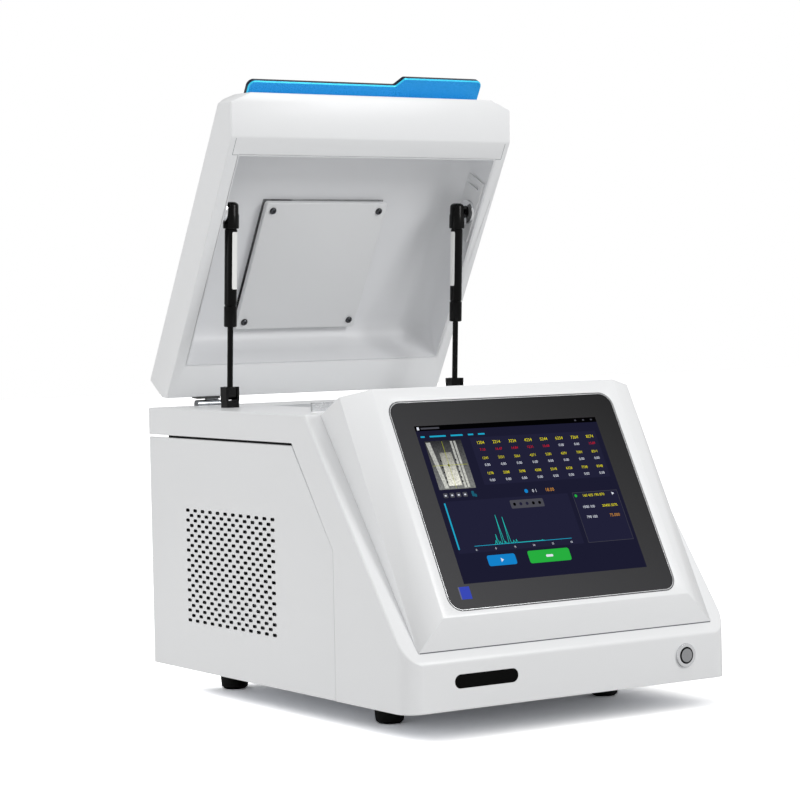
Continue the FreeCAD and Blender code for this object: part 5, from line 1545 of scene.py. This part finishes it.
@dataclass
class LidSeams:
    """Fine seams where the front band is let into the lid's rim."""

    frame: TiltedFrame
    half: float = 161.2
    cavity: float = 154.3
    front: float = -291.0
    rear: float = -273.2
    width: float = 0.5
    layer: float = -0.03

    def build(self) -> None:
        """Lay one bent seam on each side."""
        outlines = []
        for side in (-1, 1):
            half, cavity = side * self.half, side * self.cavity
            for stroke in strokes([(half, self.front), (half, self.rear), (cavity, self.rear)], self.width):
                outlines.append([self.frame.out(x, y, self.layer) for x, y in reversed(stroke)])
        settle(dress(flat_faces("lid_rim_seams", outlines), SEAM_SHADE), "lid")


@dataclass
class ConsoleSeam:
    """The fine shaded gap where the console's foot meets the front band."""

    node: str = "console_bezel"
    end_gap: float = 1.5
    foot: float = 0.1
    height: float = 1.0
    proud: float = 0.1

    def build(self) -> None:
        """Lay one strip along the foot."""
        low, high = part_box(self.node)
        inset = self.end_gap * MM
        front = low.y - self.proud * MM
        area = (low.x + inset, low.z + self.foot * MM, high.x - inset, low.z + self.height * MM)
        seam = flat_faces("console_foot_seam", [[Vector((x, front, z)) for x, z in square_outline(area)]])
        settle(dress(seam, FOOT_SHADE), "base")


@dataclass
class ShieldScrews:
    """Cross-recess screws of the plate inside the lid."""

    node: str = "shield_screws"
    tilt: float = 119.0

    def turn(self) -> Euler:
        """Give the turn of the heads."""
        return Euler((math.radians(self.tilt), 0, 0))

    def seats(self) -> list[Vector]:
        """Give the middle of each head's underside, in metres."""
        source = merged_copy(self.node)
        islands: list[list[Corner]] = []
        unseen = set(source.verts)
        while unseen:
            group, edge = [], [unseen.pop()]
            while edge:
                corner = edge.pop()
                group.append(corner)
                for link in corner.link_edges:
                    other = link.other_vert(corner)
                    if other in unseen:
                        unseen.remove(other)
                        edge.append(other)
            islands.append(group)
        facing = self.turn().to_matrix() @ Vector((0, 0, 1))
        places = []
        for group in islands:
            middle = sum((v.co for v in group), Vector()) / len(group)
            lowest = min(v.co.dot(facing) for v in group)
            places.append(middle + facing * (lowest - middle.dot(facing)))
        source.free()
        return places

    def build(self) -> None:
        """Make the heads in place of the node's plain ones."""
        heads = Repeater("shield screw heads", SCREW_STEEL)
        mesh = heads.repeat(PanHead().shape(), self.seats(), self.turn())
        made = bpy.data.objects.new("shield_screw_heads", mesh)
        bpy.context.scene.collection.objects.link(made)
        settle(made, "lid", [self.node])


@dataclass(frozen=True)
class Lamp:
    """A soft square lamp: its place and target in metres, the length of its side and its power in watts."""

    name: str
    place: Triple
    size: float
    power: float
    target: Triple = (0.0, 0.0, 0.35)

    def hang(self) -> Piece:
        """Hang the lamp."""
        data = bpy.data.lights.new(self.name, "AREA")
        data.shape = "SQUARE"
        data.size = self.size
        data.energy = self.power
        lamp = bpy.data.objects.new(self.name, data)
        bpy.context.scene.collection.objects.link(lamp)
        lamp.location = self.place
        lamp.rotation_mode = "QUATERNION"
        lamp.rotation_quaternion = (Vector(self.target) - Vector(self.place)).to_track_quat("-Z", "Y")
        return lamp


KEY_LAMP = Lamp("key lamp", (1.1, -2.3, 1.6), 0.9, 26.0)
OVERHEAD_LAMP = Lamp("overhead lamp", (0.1, -0.3, 2.4), 1.6, 16.0)
LEFT_LAMP = Lamp("left lamp", (-2.6, 0.2, 1.0), 1.4, 14.5)
FLOOR_LAMP = Lamp("floor lamp", (-1.4, 0.7, 1.8), 1.8, 24.0, target=(0.0, 0.0, 0.0))


@dataclass
class Studio:
    """Camera, lamps, floor and background. The camera's place is in millimetres from the housing's rear."""

    lens: float = 116.37
    sensor: float = 36.0
    place: Triple = (-1434.1, -2314.2, 385.8)
    yaw: float = 33.92
    pitch: float = 2.0
    roll: float = -1.14
    shift: float = -0.00886
    housing_rear: float = 0.0
    floor_half: float = 8.0
    paper_colour: str = "#f4f4f4"
    seen_paper: float = 3.2
    horizon: float = 0.65
    zenith: float = 0.34
    from_left: float = 0.92
    from_right: float = 1.14

    def build(self) -> None:
        """Set up the whole studio."""
        self.camera()
        self.lamps(self.floor())
        self.world()
        bpy.context.scene.view_settings.view_transform = "Standard"

    def camera(self) -> None:
        """Stand the camera where the photograph was taken from."""
        data = bpy.data.cameras.new("camera")
        data.lens = self.lens
        data.sensor_width = self.sensor
        data.shift_y = self.shift
        data.clip_start, data.clip_end = 0.1, 50.0
        camera = bpy.data.objects.new("camera", data)
        bpy.context.scene.collection.objects.link(camera)
        yaw, pitch, roll = (math.radians(a) for a in (self.yaw, self.pitch, self.roll))
        ahead = Vector((math.sin(yaw) * math.cos(pitch), math.cos(yaw) * math.cos(pitch), -math.sin(pitch)))
        level = Vector((math.cos(yaw), -math.sin(yaw), 0))
        upward = level.cross(ahead)
        right = level * math.cos(roll) + upward * math.sin(roll)
        up = -level * math.sin(roll) + upward * math.cos(roll)
        turn = Matrix((right, up, -ahead)).transposed().to_4x4()
        spot = Vector(self.place) * MM + Vector((0, self.housing_rear, 0))
        camera.matrix_world = Matrix.Translation(spot) @ turn
        bpy.context.scene.camera = camera

    def lamps(self, paper: Piece) -> None:
        """Hang a key lamp high in front, an overhead lamp, one on the left, and one for the floor alone.

        Args:
            paper: The floor. Only its own lamp lights it, so that its shadow is soft and lies in front.
        """
        unlit = bpy.data.collections.new("left out by the object's lamps")
        unlit.objects.link(paper)
        unlit.collection_objects[0].light_linking.link_state = "EXCLUDE"
        for lamp in (KEY_LAMP, OVERHEAD_LAMP, LEFT_LAMP):
            lamp.hang().light_linking.receiver_collection = unlit
        alone = bpy.data.collections.new("lit by the floor lamp")
        alone.objects.link(paper)
        FLOOR_LAMP.hang().light_linking.receiver_collection = alone

    def floor(self) -> Piece:
        """Lay a white floor that keeps the object's soft shadow.

        The camera sees the paper brighter than it is, so that only the shaded part is below white.

        Returns:
            The floor.
        """
        bm = bmesh.new()
        bmesh.ops.create_grid(bm, x_segments=1, y_segments=1, size=self.floor_half)
        plane = in_mesh("floor", bm)
        material = bpy.data.materials.new("white paper floor")
        material.use_nodes = True
        tree = material.node_tree
        tree.nodes.clear()
        seen = add_node(tree, "ShaderNodeLightPath").outputs["Is Camera Ray"]
        paper = add_node(tree, "ShaderNodeBsdfDiffuse", {"Color": linear(self.paper_colour)}).outputs[0]
        lifted = (self.seen_paper, self.seen_paper, self.seen_paper, 1.0)
        bright = add_node(tree, "ShaderNodeBsdfDiffuse", {"Color": lifted}).outputs[0]
        mixed = add_node(tree, "ShaderNodeMixShader", {0: seen, 1: paper, 2: bright}).outputs[0]
        add_node(tree, "ShaderNodeOutputMaterial", {"Surface": mixed})
        plane.data.materials.append(material)
        return plane

    def world(self) -> None:
        """Fill the room with light, more of it from the right, and show white behind the object."""
        world = bpy.data.worlds.new("studio")
        bpy.context.scene.world = world
        world.use_nodes = True
        tree = world.node_tree
        tree.nodes.clear()
        path = add_node(tree, "ShaderNodeLightPath").outputs
        seen = number_math(tree, "MAXIMUM", path["Is Camera Ray"], path["Is Transmission Ray"])
        direction = add_node(tree, "ShaderNodeTexCoord").outputs["Generated"]
        parts = add_node(tree, "ShaderNodeSeparateXYZ", {0: direction}).outputs
        room = ranged(tree, parts["Z"], low=self.horizon, high=self.zenith)
        aside = ranged(tree, parts["X"], -1.0, 1.0, self.from_left, self.from_right)
        uneven = number_math(tree, "MULTIPLY", room, aside)
        inputs = {0: seen, 2: uneven, 3: 1.0}
        strength = add_node(tree, "ShaderNodeMix", inputs, data_type="FLOAT").outputs[0]
        light = {"Color": linear("#ffffff"), "Strength": strength}
        back = add_node(tree, "ShaderNodeBackground", light).outputs[0]
        add_node(tree, "ShaderNodeOutputWorld", {"Surface": back})


@dataclass
class Analyzer:
    """The whole instrument: every node in its finish, and the pieces that are made here."""

    screen_tilt: float = 61.7
    lid_tilt: float = -61.0
    hinge_inset: float = 4.5

    def __post_init__(self) -> None:
        """Find the frames of the screen and of the lid."""
        low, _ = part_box("console_bezel")
        self.screen_frame = TiltedFrame(Vector((0.0, low.y, low.z)), self.screen_tilt)
        plain = TiltedFrame(Vector((0.0, 0.0, 0.0)), self.lid_tilt)
        lowest, highest = plain.span("lid_shell")
        hinge = plain.out(0.0, highest.y - self.hinge_inset, lowest.z)
        self.lid_frame = TiltedFrame(hinge, self.lid_tilt)

    def dress_nodes(self) -> None:
        """Give every node the finish of its slot."""
        slots = {row["node"]: Slot(row["material_slot"]) for row in frame["record"]["subparts"]}
        for node, piece in frame["nodes"].items():
            dress(piece, SLOT_FINISH[slots[node]])
        bright = {"outer_colour": "#f1f2f4", "outer_metallic": 0.8}
        dark = {"outer_colour": "#2a2b2d", "outer_metallic": 0.8}
        round_y = {"across": (1.0, 0.0, 1.0)}
        hinge = RingedMetal("hinge metal", "#96999d", 0.1, radius_mm=4.7, painted_reflection_depth=0.95)
        stud = RingedMetal("stud metal", "#101012", 0.12, metallic=0.3, radius_mm=6.5, **bright)
        ring = RingedMetal("button ring metal", "#1c1c1e", 0.1, radius_mm=8.0, **bright, **round_y)
        face = RingedMetal("button face metal", "#b4b5b7", 0.24, radius_mm=6.3, **dark, **round_y)
        self.ringed("hinge_pins", hinge, "deck_hinge_leaves", "lid_hinge_leaves")
        self.ringed("strut_studs", stud)
        self.ringed("button_body", ring)
        self.ringed("button_cap", face)

    def ringed(self, node: str, metal: RingedMetal, *others: str) -> None:
        """Dress a round piece, and what goes with it, in metal that changes with the radius.

        Args:
            node: The round piece, whose middle the metal takes as its centre.
            metal: The metal, not yet centred.
            *others: More nodes in the same metal.
        """
        low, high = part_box(node)
        centred = replace(metal, centre=tuple((low + high) / 2))
        for name in (node, *others):
            dress(frame["nodes"][name], centred)

    def build(self) -> None:
        """Dress the nodes and build each sub-assembly."""
        self.dress_nodes()
        SidePanel().build()
        SoftEdged("lid_shell", "lid_shell_soft", "lid", Slot.WHITE, 2.2).build()
        SoftEdged("console_bezel", "console_soft", "base", Slot.WHITE, 1.4).build()
        FoldedCover(
            "shield_plate", "shield_plate_folded", "lid", Slot.GREY, 1.0, frame=self.lid_frame
        ).build()
        Screen(self.screen_frame).build()
        for side in ("left", "right"):
            Strut(side).build()
        screws = ShieldScrews()
        LidLiner(self.lid_frame).build(screws.seats(), screws.turn())
        screws.build()
        LidSeams(self.lid_frame).build()
        ConsoleSeam().build()


def main() -> None:
    """Build the scene, and stand the studio by the housing's rear."""
    logging.basicConfig(level=logging.INFO, format="%(message)s")
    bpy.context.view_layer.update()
    _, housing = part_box("base_shell")
    Analyzer().build()
    Studio(housing_rear=housing.y).build()


if __name__ == "__main__":
    main()
